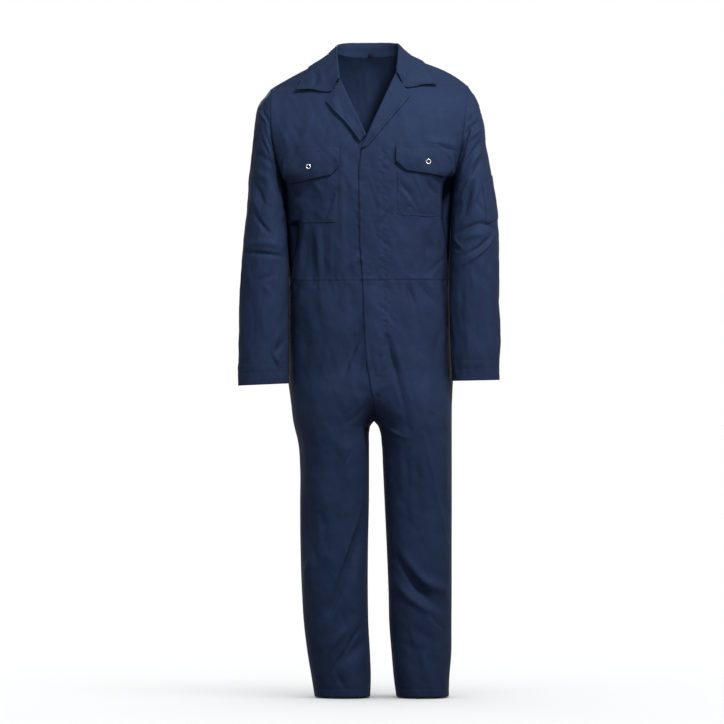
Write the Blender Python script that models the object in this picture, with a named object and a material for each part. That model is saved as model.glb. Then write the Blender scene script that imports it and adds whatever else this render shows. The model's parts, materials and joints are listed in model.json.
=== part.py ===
"""A worn boiler suit: hollow, upright, open at the neck, the cuffs and the hems.

Metres, +Z up. The front faces -Y and +X is the wearer's left. The origin is the middle of the neck opening.
The body is two surfaces, front and back, that give a depth for each place (x, z) seen from the front.
Sleeves and collar are rings and sections from the tables below. Every piece is a thin closed wall.
"""

import bmesh
import bpy
import numpy as np

CLOTH = 0.0016
DOUBLE_CLOTH = 0.0024
HALF_GAP = 0.0002
RIGHT, LEFT = 0, 1
FRONT, BACK = 0, 1
TOWARDS = np.array((-1.0, 1.0))

NAVY = (0.035, 0.052, 0.098, 1.0)
DEEP_NAVY = (0.030, 0.045, 0.086, 1.0)
STEEL = (0.62, 0.63, 0.65, 1.0)
BLACK = (0.012, 0.012, 0.014, 1.0)

# Shoulders and neck. Pairs are (wearer's right, wearer's left).
NECK_HALF = 0.078
NECK_HEIGHT = 0.018
BACK_NECK_HEIGHT = 0.010
NECK_ARCH = 0.014
SHOULDER_END_X = np.array((-0.236, 0.243))
SHOULDER_END_Z = np.array((-0.0675, -0.060))
SHOULDER_BULGE = np.array((0.002, 0.010))
CHEST_ROUNDING = np.array((0.27, 0.18))
SECTION_POWER = 2.3

# Armholes.
UNDERARM_X = np.array((-0.207, 0.2105))
UNDERARM_SHARE = 0.49
ARMHOLE_BOW = np.array((-0.0145, 0.007))
ARMHOLE_DEPTH = 0.072
ARMHOLE_FADE = 1.35

# Heights of the main seams.
WAIST_HEIGHT = -0.541
WAIST_TILT = 0.008
CROTCH_HEIGHT = -0.885
HEM_HEIGHT = -1.561
CROTCH_CURVE_TOP = np.array((-0.76, -0.70))
# Rows of the trousers close up from this height to the crotch, and two more rows lie just under it.
SEAT_TURN_HEIGHT = -0.74
ROWS_UNDER_CROTCH = np.array((0.011, 0.030))
HEM_DEPTH = 0.022

# height, side at the wearer's right, side at the left, depth in front, depth behind, y of the side seams
BODY = np.array((
    (0.032, -0.1800, 0.1800, 0.114, 0.112, 0.000),
    (-0.100, -0.2050, 0.2080, 0.121, 0.117, 0.000),
    (-0.200, -0.2070, 0.2100, 0.126, 0.123, 0.000),
    (-0.295, -0.2075, 0.2115, 0.127, 0.121, 0.000),
    (-0.320, -0.2025, 0.2065, 0.128, 0.117, 0.002),
    (-0.360, -0.2005, 0.2045, 0.131, 0.108, 0.007),
    (-0.420, -0.1980, 0.2025, 0.132, 0.099, 0.012),
    (-0.480, -0.1955, 0.2005, 0.132, 0.093, 0.016),
    (-0.541, -0.1940, 0.1990, 0.132, 0.091, 0.018),
    (-0.600, -0.1940, 0.1995, 0.135, 0.096, 0.018),
    (-0.660, -0.1940, 0.2005, 0.137, 0.104, 0.018),
    (-0.720, -0.1940, 0.2025, 0.138, 0.109, 0.018),
    (-0.780, -0.1930, 0.2055, 0.138, 0.109, 0.018),
    (-0.830, -0.1895, 0.2060, 0.134, 0.107, 0.016),
    (-0.885, -0.1835, 0.2058, 0.124, 0.104, 0.012),
    (-0.943, -0.1705, 0.2058, 0.113, 0.097, 0.009),
    (-1.000, -0.1665, 0.2058, 0.103, 0.094, 0.007),
    (-1.090, -0.1665, 0.2058, 0.094, 0.088, 0.005),
    (-1.200, -0.1655, 0.2055, 0.090, 0.082, 0.004),
    (-1.310, -0.1617, 0.2055, 0.088, 0.080, 0.004),
    (-1.384, -0.1570, 0.2050, 0.085, 0.080, 0.004),
    (-1.457, -0.1480, 0.2045, 0.083, 0.079, 0.005),
    (-1.520, -0.1375, 0.1995, 0.081, 0.077, 0.006),
    (-1.561, -0.1310, 0.1985, 0.080, 0.077, 0.006),
))

# height, inner edge of the wearer's right leg, inner edge of the left leg
INSIDE_LEGS = np.array((
    (-0.885, 0.0147, 0.0147),
    (-0.896, 0.0060, 0.0245),
    (-0.910, 0.0027, 0.0300),
    (-0.943, 0.0022, 0.0345),
    (-1.000, 0.0022, 0.0375),
    (-1.090, 0.0018, 0.0417),
    (-1.180, -0.0002, 0.0460),
    (-1.310, -0.0008, 0.0512),
    (-1.384, 0.0005, 0.0530),
    (-1.457, 0.0045, 0.0588),
    (-1.520, 0.0065, 0.0645),
    (-1.561, 0.0050, 0.0700),
))

# height, middle of the trousers above the crotch
MIDDLE = np.array((
    (-0.541, 0.0),
    (-0.680, 0.001),
    (-0.780, 0.005),
    (-0.845, 0.0135),
    (-0.885, 0.0147),
))

# height, edge of the wearer's left front: neck seam, roll line, closing edge, fly edge
LEFT_EDGE = np.array((
    (0.018, 0.0780),
    (-0.034, 0.0700),
    (-0.223, -0.0157),
    (-0.267, -0.0215),
    (-0.441, -0.0196),
    (-0.541, -0.0122),
    (-0.650, -0.0085),
    (-0.740, -0.0030),
    (-0.790, 0.0060),
))

# height, edge of the wearer's right front, which passes under the left one
RIGHT_EDGE = np.array((
    (0.018, -0.0780),
    (-0.049, -0.0710),
    (-0.190, -0.0060),
    (-0.222, 0.0100),
    (-0.260, 0.0220),
    (-0.541, 0.0220),
    (-0.700, 0.0160),
    (-0.790, 0.0060),
))
LAP_TOP = -0.165
LAP_BOTTOM = -0.830
LAP_DROP = 0.0033
LAP_START, LAP_FULL = 0.044, 0.028
LAP_EASE = 0.021

# A fold's cross-section, how many places along it are tried, and how far from a seam the folds fade out.
FOLD_SHARPNESS, FOLD_SWELL = 1.8, 0.45
FOLD_PLACES = 25
FADE_AT_ARMHOLE, FADE_AT_SHOULDER, FADE_AT_LEG_SEAM = 0.020, 0.030, 0.016

# Folds of the front, seen from the front: three places that each passes, its half-width and its height.
# A trough has a negative height.
FRONT_FOLDS = np.array((
    # x, z, x, z, x, z, half-width, height
    (-0.076, -0.314, -0.094, -0.349, -0.108, -0.387, 0.016, -0.0040),
    (-0.142, -0.400, -0.141, -0.470, -0.136, -0.560, 0.024, -0.0070),
    (-0.103, -0.410, -0.106, -0.480, -0.108, -0.535, 0.018, -0.0045),
    (-0.052, -0.518, -0.036, -0.498, -0.018, -0.478, 0.015, 0.0035),
    (0.078, -0.304, 0.096, -0.322, 0.118, -0.340, 0.015, -0.0040),
    (0.140, -0.202, 0.182, -0.204, 0.222, -0.216, 0.014, 0.0035),
    (0.152, -0.420, 0.148, -0.470, 0.150, -0.535, 0.022, -0.0045),
    (0.0955, -0.545, 0.104, -0.583, 0.115, -0.620, 0.014, -0.0045),
    (0.132, -0.545, 0.146, -0.570, 0.160, -0.595, 0.013, -0.0040),
    (-0.0113, -0.640, -0.040, -0.705, -0.064, -0.775, 0.022, -0.0080),
    (0.042, -0.665, 0.056, -0.722, 0.070, -0.782, 0.018, -0.0060),
    (0.034, -0.884, 0.064, -0.902, 0.096, -0.926, 0.018, 0.0055),
    (0.072, -0.872, 0.090, -0.896, 0.108, -0.918, 0.014, -0.0040),
    (-0.020, -0.880, -0.060, -0.902, -0.105, -0.915, 0.020, 0.0040),
    (-0.004, -1.112, -0.056, -1.258, -0.101, -1.365, 0.026, -0.0110),
    (-0.160, -1.060, -0.150, -1.150, -0.134, -1.240, 0.030, -0.0080),
    (-0.139, -1.215, -0.148, -1.262, -0.156, -1.308, 0.018, 0.0050),
    (0.002, -1.418, -0.040, -1.452, -0.090, -1.498, 0.022, -0.0080),
    (0.000, -1.320, -0.045, -1.395, -0.110, -1.440, 0.022, 0.0060),
    (0.127, -0.915, 0.168, -1.070, 0.199, -1.215, 0.014, -0.0040),
    (0.085, -1.200, 0.132, -1.272, 0.200, -1.297, 0.020, 0.0085),
    (0.078, -1.224, 0.118, -1.286, 0.166, -1.340, 0.018, -0.0090),
    (0.062, -1.270, 0.108, -1.322, 0.160, -1.352, 0.016, 0.0065),
    (0.106, -1.386, 0.138, -1.408, 0.172, -1.432, 0.018, -0.0070),
    (0.076, -1.424, 0.104, -1.436, 0.136, -1.448, 0.014, -0.0050),
))

BACK_FOLDS = np.array((
    (-0.120, -0.215, -0.095, -0.330, -0.088, -0.500, 0.030, -0.0060),
    (0.128, -0.205, 0.108, -0.320, 0.098, -0.515, 0.030, -0.0065),
    (-0.020, -0.360, -0.016, -0.450, -0.022, -0.560, 0.024, 0.0050),
    (0.048, -0.400, 0.052, -0.470, 0.046, -0.580, 0.022, -0.0045),
    (-0.060, -0.470, -0.058, -0.550, -0.066, -0.640, 0.020, -0.0045),
    (0.120, -0.545, 0.110, -0.600, 0.105, -0.670, 0.018, -0.0040),
    (0.012, -0.800, -0.030, -0.860, -0.100, -0.905, 0.026, -0.0080),
    (0.016, -0.815, 0.058, -0.868, 0.130, -0.920, 0.026, -0.0085),
    (0.004, -1.020, -0.050, -1.090, -0.110, -1.130, 0.026, 0.0065),
    (-0.010, -1.150, -0.070, -1.185, -0.150, -1.190, 0.024, -0.0085),
    (-0.020, -1.225, -0.075, -1.250, -0.140, -1.285, 0.024, 0.0070),
    (-0.008, -1.350, -0.060, -1.400, -0.120, -1.420, 0.022, -0.0070),
    (0.048, -1.040, 0.110, -1.110, 0.170, -1.140, 0.026, 0.0060),
    (0.060, -1.160, 0.120, -1.198, 0.190, -1.200, 0.024, -0.0090),
    (0.064, -1.240, 0.115, -1.262, 0.180, -1.305, 0.024, 0.0070),
    (0.070, -1.365, 0.120, -1.412, 0.185, -1.425, 0.022, -0.0070),
))

# Sleeves, from the armhole to the cuff:
# outer edge x and z, inner edge x and z, middle y, half-depth
RIGHT_SLEEVE = np.array((
    (-0.2360, -0.0675, -0.2070, -0.3005, 0.000, 0.072),
    (-0.2560, -0.0915, -0.2104, -0.3096, -0.001, 0.0750),
    (-0.2700, -0.1180, -0.2108, -0.3180, -0.002, 0.0765),
    (-0.2780, -0.1560, -0.2096, -0.3310, -0.004, 0.077),
    (-0.2830, -0.2130, -0.2066, -0.3500, -0.006, 0.076),
    (-0.2900, -0.2830, -0.2028, -0.3830, -0.010, 0.073),
    (-0.2975, -0.3600, -0.1990, -0.4300, -0.015, 0.070),
    (-0.3060, -0.4400, -0.1960, -0.4850, -0.020, 0.067),
    (-0.3115, -0.5300, -0.1940, -0.5550, -0.025, 0.063),
    (-0.3165, -0.6300, -0.1935, -0.6400, -0.030, 0.058),
    (-0.3185, -0.7200, -0.1935, -0.7240, -0.036, 0.051),
    (-0.3175, -0.7975, -0.1940, -0.7920, -0.042, 0.043),
))

LEFT_SLEEVE = np.array((
    (0.2430, -0.0600, 0.2105, -0.2947, 0.000, 0.072),
    (0.2650, -0.0900, 0.2130, -0.3040, -0.001, 0.075),
    (0.2755, -0.1170, 0.2140, -0.3140, -0.002, 0.077),
    (0.2830, -0.1550, 0.2138, -0.3280, -0.004, 0.078),
    (0.2920, -0.2110, 0.2116, -0.3500, -0.006, 0.077),
    (0.3045, -0.2850, 0.2078, -0.3850, -0.010, 0.074),
    (0.3150, -0.3630, 0.2046, -0.4330, -0.015, 0.071),
    (0.3205, -0.4450, 0.2010, -0.4880, -0.020, 0.068),
    (0.3220, -0.5300, 0.2000, -0.5530, -0.025, 0.064),
    (0.3225, -0.6300, 0.2005, -0.6360, -0.030, 0.058),
    (0.3235, -0.7150, 0.2035, -0.7140, -0.036, 0.051),
    (0.3200, -0.7835, 0.2072, -0.7860, -0.042, 0.043),
))

# Folds of the sleeves, on the front (0) or the back (1), as seen from the front.
SLEEVE_FOLDS = np.array((
    # x, z, x, z, x, z, half-width, height, face
    (0.272, -0.130, 0.254, -0.170, 0.238, -0.215, 0.018, -0.0045, 0),
    (0.262, -0.290, 0.246, -0.335, 0.234, -0.385, 0.020, -0.0070, 0),
    (0.228, -0.425, 0.264, -0.402, 0.304, -0.410, 0.020, -0.0075, 0),
    (0.311, -0.428, 0.278, -0.462, 0.238, -0.495, 0.020, 0.0065, 0),
    (0.208, -0.440, 0.224, -0.468, 0.240, -0.450, 0.014, -0.0045, 0),
    (0.300, -0.600, 0.262, -0.640, 0.228, -0.660, 0.020, 0.0040, 0),
    (-0.280, -0.225, -0.258, -0.300, -0.240, -0.355, 0.022, -0.0055, 0),
    (-0.298, -0.400, -0.262, -0.455, -0.214, -0.475, 0.022, -0.0060, 0),
    (-0.304, -0.480, -0.262, -0.515, -0.215, -0.540, 0.020, 0.0050, 0),
    (-0.234, -0.715, -0.215, -0.704, -0.199, -0.700, 0.016, -0.0050, 0),
    (-0.305, -0.690, -0.268, -0.735, -0.232, -0.760, 0.020, 0.0040, 0),
    (0.290, -0.350, 0.262, -0.400, 0.228, -0.420, 0.022, -0.0070, 1),
    (0.305, -0.450, 0.262, -0.480, 0.222, -0.520, 0.020, 0.0050, 1),
    (-0.282, -0.350, -0.252, -0.410, -0.222, -0.430, 0.022, -0.0070, 1),
    (-0.300, -0.460, -0.258, -0.500, -0.215, -0.530, 0.020, 0.0050, 1),
))

# Half of the collar, from the centre back to the front end, plan places (x, y):
# seam, fold with its height, middle of the fall, outer edge
RIGHT_COLLAR = np.array((
    # seam x, y, fold x, y, z, fall middle x, y, lift, edge x, y, lift
    (0.0000, 0.0575, 0.0000, 0.0560, 0.0480, 0.0000, 0.0700, 0.010, 0.0000, 0.0840, 0.005),
    (-0.0420, 0.0480, -0.0470, 0.0480, 0.0470, -0.0560, 0.0600, 0.010, -0.0640, 0.0720, 0.005),
    (-0.0700, 0.0250, -0.0700, 0.0270, 0.0430, -0.0890, 0.0350, 0.010, -0.1090, 0.0430, 0.005),
    (-0.0790, 0.0000, -0.0765, 0.0010, 0.0360, -0.1050, 0.0020, 0.009, -0.1370, 0.0020, 0.006),
    (-0.0790, -0.0250, -0.0765, -0.0240, 0.0160, -0.1100, -0.0280, 0.009, -0.1560, -0.0300, 0.006),
    (-0.0765, -0.0500, -0.0745, -0.0520, -0.0060, -0.1060, -0.0580, 0.008, -0.1675, -0.0480, 0.007),
    (-0.0730, -0.0760, -0.0710, -0.0875, -0.0455, -0.0890, -0.0872, 0.005, -0.1740, -0.0590, 0.007),
))

LEFT_COLLAR = np.array((
    (0.0000, 0.0575, 0.0000, 0.0560, 0.0480, 0.0000, 0.0700, 0.010, 0.0000, 0.0840, 0.005),
    (0.0420, 0.0480, 0.0470, 0.0480, 0.0475, 0.0560, 0.0600, 0.010, 0.0640, 0.0720, 0.005),
    (0.0700, 0.0250, 0.0700, 0.0270, 0.0450, 0.0880, 0.0350, 0.010, 0.1060, 0.0430, 0.005),
    (0.0790, 0.0000, 0.0760, 0.0010, 0.0400, 0.1030, 0.0020, 0.009, 0.1290, 0.0020, 0.006),
    (0.0790, -0.0220, 0.0755, -0.0210, 0.0230, 0.1060, -0.0260, 0.009, 0.1480, -0.0290, 0.006),
    (0.0770, -0.0430, 0.0735, -0.0440, 0.0050, 0.1040, -0.0540, 0.008, 0.1610, -0.0460, 0.007),
    (0.0735, -0.0660, 0.0700, -0.0770, -0.0320, 0.0895, -0.0830, 0.005, 0.1690, -0.0590, 0.007),
))

# Lapels, from the gorge down: roll line height, then outer edge x and z.
RIGHT_LAPEL = np.array((
    (-0.0545, -0.1017, -0.1045),
    (-0.0900, -0.0810, -0.1290),
    (-0.1300, -0.0560, -0.1540),
    (-0.1620, -0.0360, -0.1790),
    (-0.1880, -0.0190, -0.2020),
))

LEFT_LAPEL = np.array((
    (-0.0395, 0.1030, -0.0900),
    (-0.0850, 0.0800, -0.1170),
    (-0.1350, 0.0520, -0.1500),
    (-0.1800, 0.0240, -0.1830),
    (-0.2180, -0.0030, -0.2150),
))
LAPEL_ROLL = 0.0034
LAPEL_EDGE_LIFT = 0.0034
LAPEL_START_ANGLE = 0.22
STAND_GAP = 0.0026
# Places beside the top of the collar's fold: how far in or out, and how far down.
FOLD_INSIDE, FOLD_OUTSIDE = (0.0016, 0.0035), (0.0048, 0.0030)

# Outlines on the chest, from the side nearer the closing: x, top edge height, bottom edge height.
RIGHT_POCKET = np.array((
    (-0.0765, -0.232, -0.3990),
    (-0.1050, -0.232, -0.4000),
    (-0.1580, -0.232, -0.4000),
    (-0.1830, -0.232, -0.3760),
))
LEFT_POCKET = np.array((
    (0.0715, -0.222, -0.3640),
    (0.0850, -0.222, -0.3810),
    (0.1500, -0.222, -0.3860),
    (0.1755, -0.222, -0.3820),
))
RIGHT_FLAP = np.array((
    (-0.0698, -0.2160, -0.2585),
    (-0.0894, -0.2170, -0.2830),
    (-0.1370, -0.2190, -0.2920),
    (-0.1838, -0.2240, -0.3010),
    (-0.2030, -0.2330, -0.2830),
))
LEFT_FLAP = np.array((
    (0.0679, -0.2110, -0.2475),
    (0.0931, -0.2090, -0.2720),
    (0.1400, -0.2070, -0.2780),
    (0.1862, -0.2110, -0.2830),
    (0.2060, -0.2170, -0.2640),
))
POCKET_LIFT, FLAP_LIFT = 0.0034, 0.0065
PATCH_BULGE, PATCH_EDGE = 0.0006, 0.25
STUD_PLACES = ((-0.1458, -0.2634), (0.1470, -0.2500))
STUD_RADIUS, STUD_HEIGHT, STUD_GAP = 0.0060, 0.0022, 0.0003
# Shares of the stud's radius and height, from the middle of its underside to the middle of its hollow.
STUD_PROFILE = ((0.0, 0.0), (1.0, 0.0), (1.0, 0.45), (0.86, 0.95), (0.66, 1.0), (0.52, 0.5), (0.0, 0.42))

# The pen pocket covers these rings and columns of the left sleeve. The cuff's hem is a share of a table row.
PEN_POCKET_RINGS = (8, 9, 10)
PEN_POCKET_COLUMNS = (3, 2, 1, 0, -1)
PEN_POCKET_LIFT = 0.0021
CUFF_HEM = 0.32

TAB_SIZE = (0.011, 0.0008, 0.010)
TAB_X, TAB_TOP, TAB_Y = 0.0074, 0.0225, 0.0528

# How finely each wall is divided.
ARMHOLE_ROWS = 9
CHEST_ROWS = 9
CHEST_COLUMNS = 11
BACK_NECK_COLUMNS = 8
SEAT_ROWS = 9
LEG_ROWS = 18
LEG_COLUMNS = 10
SLEEVE_RINGS = 19
COLLAR_SECTIONS = 13
COLLAR_POINTS = 15
LAPEL_ROWS, LAPEL_CURL_POINTS, LAPEL_POINTS = 10, 4, 6
POCKET_GRID, FLAP_GRID = (7, 8), (8, 4)
STUD_SEGMENTS = 16


def spline(at, places, values):
    """A smooth curve through the values, which sit at rising places."""
    at = np.clip(at, places[0], places[-1])
    slopes = np.gradient(values, places)
    index = np.clip(np.searchsorted(places, at, side="right") - 1, 0, len(places) - 2)
    span = places[index + 1] - places[index]
    share = (at - places[index]) / span
    start, end = values[index], values[index + 1]
    leave, arrive = slopes[index] * span, slopes[index + 1] * span
    curve = (1 + 2 * share) * (1 - share) ** 2 * start + share * (1 - share) ** 2 * leave
    return curve + share**2 * (3 - 2 * share) * end + share**2 * (share - 1) * arrive


def by_height(z, table, column):
    """One column of a table whose rows go down from the top."""
    return spline(-np.asarray(z, float), -table[:, 0], table[:, column])


def straight_by_height(z, table, column):
    return np.interp(-np.asarray(z, float), -table[:, 0], table[:, column])


def ease(share):
    share = np.clip(share, 0.0, 1.0)
    return share * share * (3 - 2 * share)


def side_of(x, middle=0.0):
    return np.where(np.asarray(x) > middle, LEFT, RIGHT)


def waist_height(x):
    return WAIST_HEIGHT + WAIST_TILT * np.asarray(x, float)


def ridge_height(x):
    """The shoulder line, and its unseen continuation over the neck opening."""
    x = np.asarray(x, float)
    side = side_of(x)
    share = (np.abs(x) - NECK_HALF) / (np.abs(SHOULDER_END_X[side]) - NECK_HALF)
    drop = (SHOULDER_END_Z[side] - NECK_HEIGHT) * share
    bulge = SHOULDER_BULGE[side] * 6.75 * share**2 * (1 - share)
    arch = NECK_ARCH * (1 - (x / NECK_HALF) ** 2)
    return NECK_HEIGHT + np.where(share > 0, drop + bulge, arch)


def ridge_reach(z, side):
    """How far out the shoulder line has come down to this height."""
    out = np.linspace(NECK_HALF, abs(SHOULDER_END_X[side]), 60)
    return np.interp(-z, -ridge_height(out * TOWARDS[side]), out)


def armhole_point(side, share):
    """The armhole seam in the front view: share 0 at the shoulder, 1 under the arm. Also its half-depth."""
    under_z = SHOULDER_END_Z[side] + UNDERARM_SHARE * (WAIST_HEIGHT - SHOULDER_END_Z[side])
    share = np.clip(share, 0.0, 1.0)
    bulge = 4 * share * (1 - share)
    straight_x = SHOULDER_END_X[side] + (UNDERARM_X[side] - SHOULDER_END_X[side]) * share
    x = straight_x + ARMHOLE_BOW[side] * bulge
    z = SHOULDER_END_Z[side] + (under_z - SHOULDER_END_Z[side]) * share
    return x, z, ARMHOLE_DEPTH * np.sqrt(bulge)


def torso_limits(z, side):
    """The half-width of the torso at this height, and how far down the armhole this height is."""
    shoulder, under_z = SHOULDER_END_Z[side], armhole_point(side, 1.0)[1]
    share = (shoulder - z) / (shoulder - under_z)
    beside_armhole = np.abs(armhole_point(side, share)[0])
    below = np.abs(by_height(z, BODY, 1 + side))
    return np.where(share < 0, ridge_reach(z, side), np.where(share < 1, beside_armhole, below)), share


def torso_depth(x, z, face):
    """How far the torso's front or back is from its side seams. Its sides stay deep beside the armholes."""
    depths = []
    for side in (RIGHT, LEFT):
        reach, armhole_share = torso_limits(z, side)
        rise = np.clip((ridge_height(x) - z) / CHEST_ROUNDING[face], 0, 1)
        full = by_height(z, BODY, 3 + face) * np.sqrt(1 - (1 - rise) ** 2)
        share = np.clip(np.abs(x) / reach, 0, 1)
        section = (1 - share**SECTION_POWER) ** (1 / SECTION_POWER)
        upper = 2 * np.sqrt(np.clip(armhole_share * (1 - armhole_share), 0, 0.25))
        lower = np.cos(np.pi / 2 * np.clip((armhole_share - 0.5) / (ARMHOLE_FADE - 0.5), 0, 1))
        armhole = ARMHOLE_DEPTH * np.where(armhole_share < 0.5, upper, lower)
        armhole *= 1 - share**6 * ease((armhole_share - 0.9) / 0.1)
        depths.append(armhole + (full - armhole) * section)
    return np.where(side_of(x) == LEFT, depths[LEFT], depths[RIGHT])


def leg_limits(z, side, face):
    """The middle and half-width of one leg's section; above the crotch the two sections merge."""
    outer = by_height(z, BODY, 1 + side)
    middle = by_height(z, MIDDLE, 1)
    top = CROTCH_CURVE_TOP[face]
    split = np.clip((top - z) / (top - CROTCH_HEIGHT), 0, 1)
    merged_half = np.abs(outer - middle) / (1 + split)
    merged_middle = middle + TOWARDS[side] * split * merged_half
    inner = by_height(z, INSIDE_LEGS, 1 + side)
    below = z < CROTCH_HEIGHT
    centre = np.where(below, (outer + inner) / 2, merged_middle)
    return centre, np.where(below, np.abs(outer - inner) / 2, merged_half)


def legs_middle(z):
    gap = (by_height(z, INSIDE_LEGS, 1) + by_height(z, INSIDE_LEGS, 2)) / 2
    return np.where(z < CROTCH_HEIGHT, gap, by_height(z, MIDDLE, 1))


def leg_depth(x, z, face):
    depths = []
    for side in (RIGHT, LEFT):
        centre, half = leg_limits(z, side, face)
        share = np.clip(np.abs(x - centre) / half, 0, 1)
        full = by_height(z, BODY, 3 + face)
        depths.append(full * (1 - share**SECTION_POWER) ** (1 / SECTION_POWER))
    return np.where(side_of(x, legs_middle(z)) == LEFT, depths[LEFT], depths[RIGHT])


def surface_y(x, z, face):
    depth = np.where(z > waist_height(x), torso_depth(x, z, face), leg_depth(x, z, face))
    return by_height(z, BODY, 5) + TOWARDS[face] * depth


def relief(x, z, folds):
    """The height of all the folds at a place: each has a crest or trough and a small swell beside it."""
    height = np.zeros(np.shape(x))
    for x0, z0, x1, z1, x2, z2, half_width, rise in folds[:, :8]:
        best = np.full(np.shape(x), np.inf)
        strength = np.zeros(np.shape(x))
        bend_x, bend_z = 2 * x1 - (x0 + x2) / 2, 2 * z1 - (z0 + z2) / 2
        for share in np.linspace(0, 1, FOLD_PLACES):
            on_x = (1 - share) ** 2 * x0 + 2 * share * (1 - share) * bend_x + share**2 * x2
            on_z = (1 - share) ** 2 * z0 + 2 * share * (1 - share) * bend_z + share**2 * z2
            away = np.hypot(x - on_x, z - on_z)
            strength = np.where(away < best, np.sin(np.pi * (0.08 + 0.84 * share)), strength)
            best = np.minimum(best, away)
        ratio = best / half_width
        height += rise * strength * np.exp(-FOLD_SHARPNESS * ratio**2) * (1 - FOLD_SWELL * ratio**2)
    return height


def calm_at_edges(x, z):
    """1 inside a panel, falling to 0 at the side, armhole, shoulder and inside leg seams."""
    side = side_of(x, legs_middle(z))
    calm = np.ones(np.shape(x))
    for each in (RIGHT, LEFT):
        reach, _ = torso_limits(z, each)
        torso = ease((reach - np.abs(x)) / FADE_AT_ARMHOLE) * ease((ridge_height(x) - z) / FADE_AT_SHOULDER)
        centre, half = leg_limits(z, each, FRONT)
        leg = ease((half - np.abs(x - centre)) / FADE_AT_LEG_SEAM)
        whole = ease((np.abs(by_height(z, BODY, 1 + each)) - np.abs(x)) / FADE_AT_LEG_SEAM)
        leg = np.where(z > CROTCH_HEIGHT, whole, leg)
        calm = np.where(side == each, np.where(z > waist_height(x), torso, leg), calm)
    return calm


def on_body(x, z, face, lift=0.0):
    """Points and outward directions of the body's front or back at places (x, z), with its folds."""
    x, z = np.broadcast_arrays(np.asarray(x, float), np.asarray(z, float))
    step = 0.0005
    forward = TOWARDS[face]
    slope_x = (surface_y(x + step, z, face) - surface_y(x - step, z, face)) / (2 * step)
    slope_z = (surface_y(x, z + step, face) - surface_y(x, z - step, face)) / (2 * step)
    normals = forward * np.stack((-slope_x, np.ones(x.shape), -slope_z), axis=-1)
    normals /= np.linalg.norm(normals, axis=-1, keepdims=True)
    folds = relief(x, z, FRONT_FOLDS if face == FRONT else BACK_FOLDS) * calm_at_edges(x, z)
    level = np.stack((normals[..., 0], normals[..., 1], np.zeros(x.shape)), axis=-1)
    points = np.stack((x, surface_y(x, z, face), z), axis=-1) + level * folds[..., None]
    return points + normals * np.broadcast_to(lift, x.shape)[..., None], normals


def lap_drop(x, z):
    """How far the right front lies behind the left one, where they overlap."""
    edge = straight_by_height(z, LEFT_EDGE, 1)
    across = ease((x - edge + LAP_START) / (LAP_START - LAP_FULL))
    along = ease((LAP_TOP - z) / LAP_EASE) * ease((z - LAP_BOTTOM) / LAP_EASE)
    return LAP_DROP * across * along


def pulled_in(points, row_start=False, row_end=False, column_start=False, column_end=False):
    """The grid with the named edges half a seam gap further in."""
    moved = points.copy()
    for wanted, edge, inner in (
        (row_start, np.s_[0, :], np.s_[1, :]),
        (row_end, np.s_[-1, :], np.s_[-2, :]),
        (column_start, np.s_[:, 0], np.s_[:, 1]),
        (column_end, np.s_[:, -1], np.s_[:, -2]),
    ):
        if wanted:
            way = points[inner] - points[edge]
            moved[edge] += HALF_GAP * way / np.linalg.norm(way, axis=-1, keepdims=True)
    return moved


def grid_normals(points, around=False):
    """Directions square to a grid, from its neighbouring points."""
    down = np.gradient(points, axis=0)
    if around:
        across = (np.roll(points, -1, axis=1) - np.roll(points, 1, axis=1)) / 2
    else:
        across = np.gradient(points, axis=1)
    normals = np.cross(down, across)
    return normals / np.linalg.norm(normals, axis=-1, keepdims=True)


def wall(name, points, normals, colour, thickness=CLOTH, around=False):
    """A closed wall on both sides of a grid of points. A grid that runs around has no side edges."""
    rows, columns = points.shape[:2]
    half = np.broadcast_to(np.asarray(thickness) / 2, (rows, columns))[..., None]
    sides = (points + normals * half, points - normals * half)
    corners = np.concatenate([side.reshape(-1, 3) for side in sides])
    behind = rows * columns
    faces = []
    for row in range(rows - 1):
        for column in range(columns if around else columns - 1):
            beside = (column + 1) % columns
            quad = [row * columns + column, (row + 1) * columns + column]
            quad += [(row + 1) * columns + beside, row * columns + beside]
            faces.append(quad)
            faces.append([corner + behind for corner in reversed(quad)])
    border = []
    for column in range(columns if around else columns - 1):
        beside = (column + 1) % columns
        border.append((beside, column))
        border.append(((rows - 1) * columns + column, (rows - 1) * columns + beside))
    if not around:
        for row in range(rows - 1):
            border.append((row * columns, (row + 1) * columns))
            border.append(((row + 1) * columns + columns - 1, row * columns + columns - 1))
    faces += [[start, start + behind, end + behind, end] for start, end in border]
    return solid(name, corners, faces, colour)


def solid(name, corners, faces, colour, roughness=0.85, metallic=0.0):
    mesh = bpy.data.meshes.new(name)
    mesh.from_pydata([tuple(map(float, corner)) for corner in corners], [], faces)
    shaped = bmesh.new()
    shaped.from_mesh(mesh)
    bmesh.ops.recalc_face_normals(shaped, faces=shaped.faces)
    shaped.to_mesh(mesh)
    shaped.free()
    mesh.polygons.foreach_set("use_smooth", [True] * len(mesh.polygons))
    material = bpy.data.materials.new(name)
    material.use_nodes = True
    surface = material.node_tree.nodes["Principled BSDF"]
    surface.inputs["Base Color"].default_value = colour
    surface.inputs["Roughness"].default_value = roughness
    surface.inputs["Metallic"].default_value = metallic
    mesh.materials.append(material)
    piece = bpy.data.objects.new(name, mesh)
    bpy.context.scene.collection.objects.link(piece)
    return piece


def panel_rows():
    """Shares of the height between shoulder and waist, even round the armhole and then even down."""
    angles = np.linspace(0, np.pi, ARMHOLE_ROWS + 1)
    beside_armhole = UNDERARM_SHARE * (1 - np.cos(angles)) / 2
    below = np.linspace(UNDERARM_SHARE, 1, CHEST_ROWS + 1)[1:]
    return np.concatenate((beside_armhole, below))


def edge_height(share):
    """The height of a row at the closing edge of a front."""
    return NECK_HEIGHT * (1 - share) + WAIST_HEIGHT * share


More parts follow.
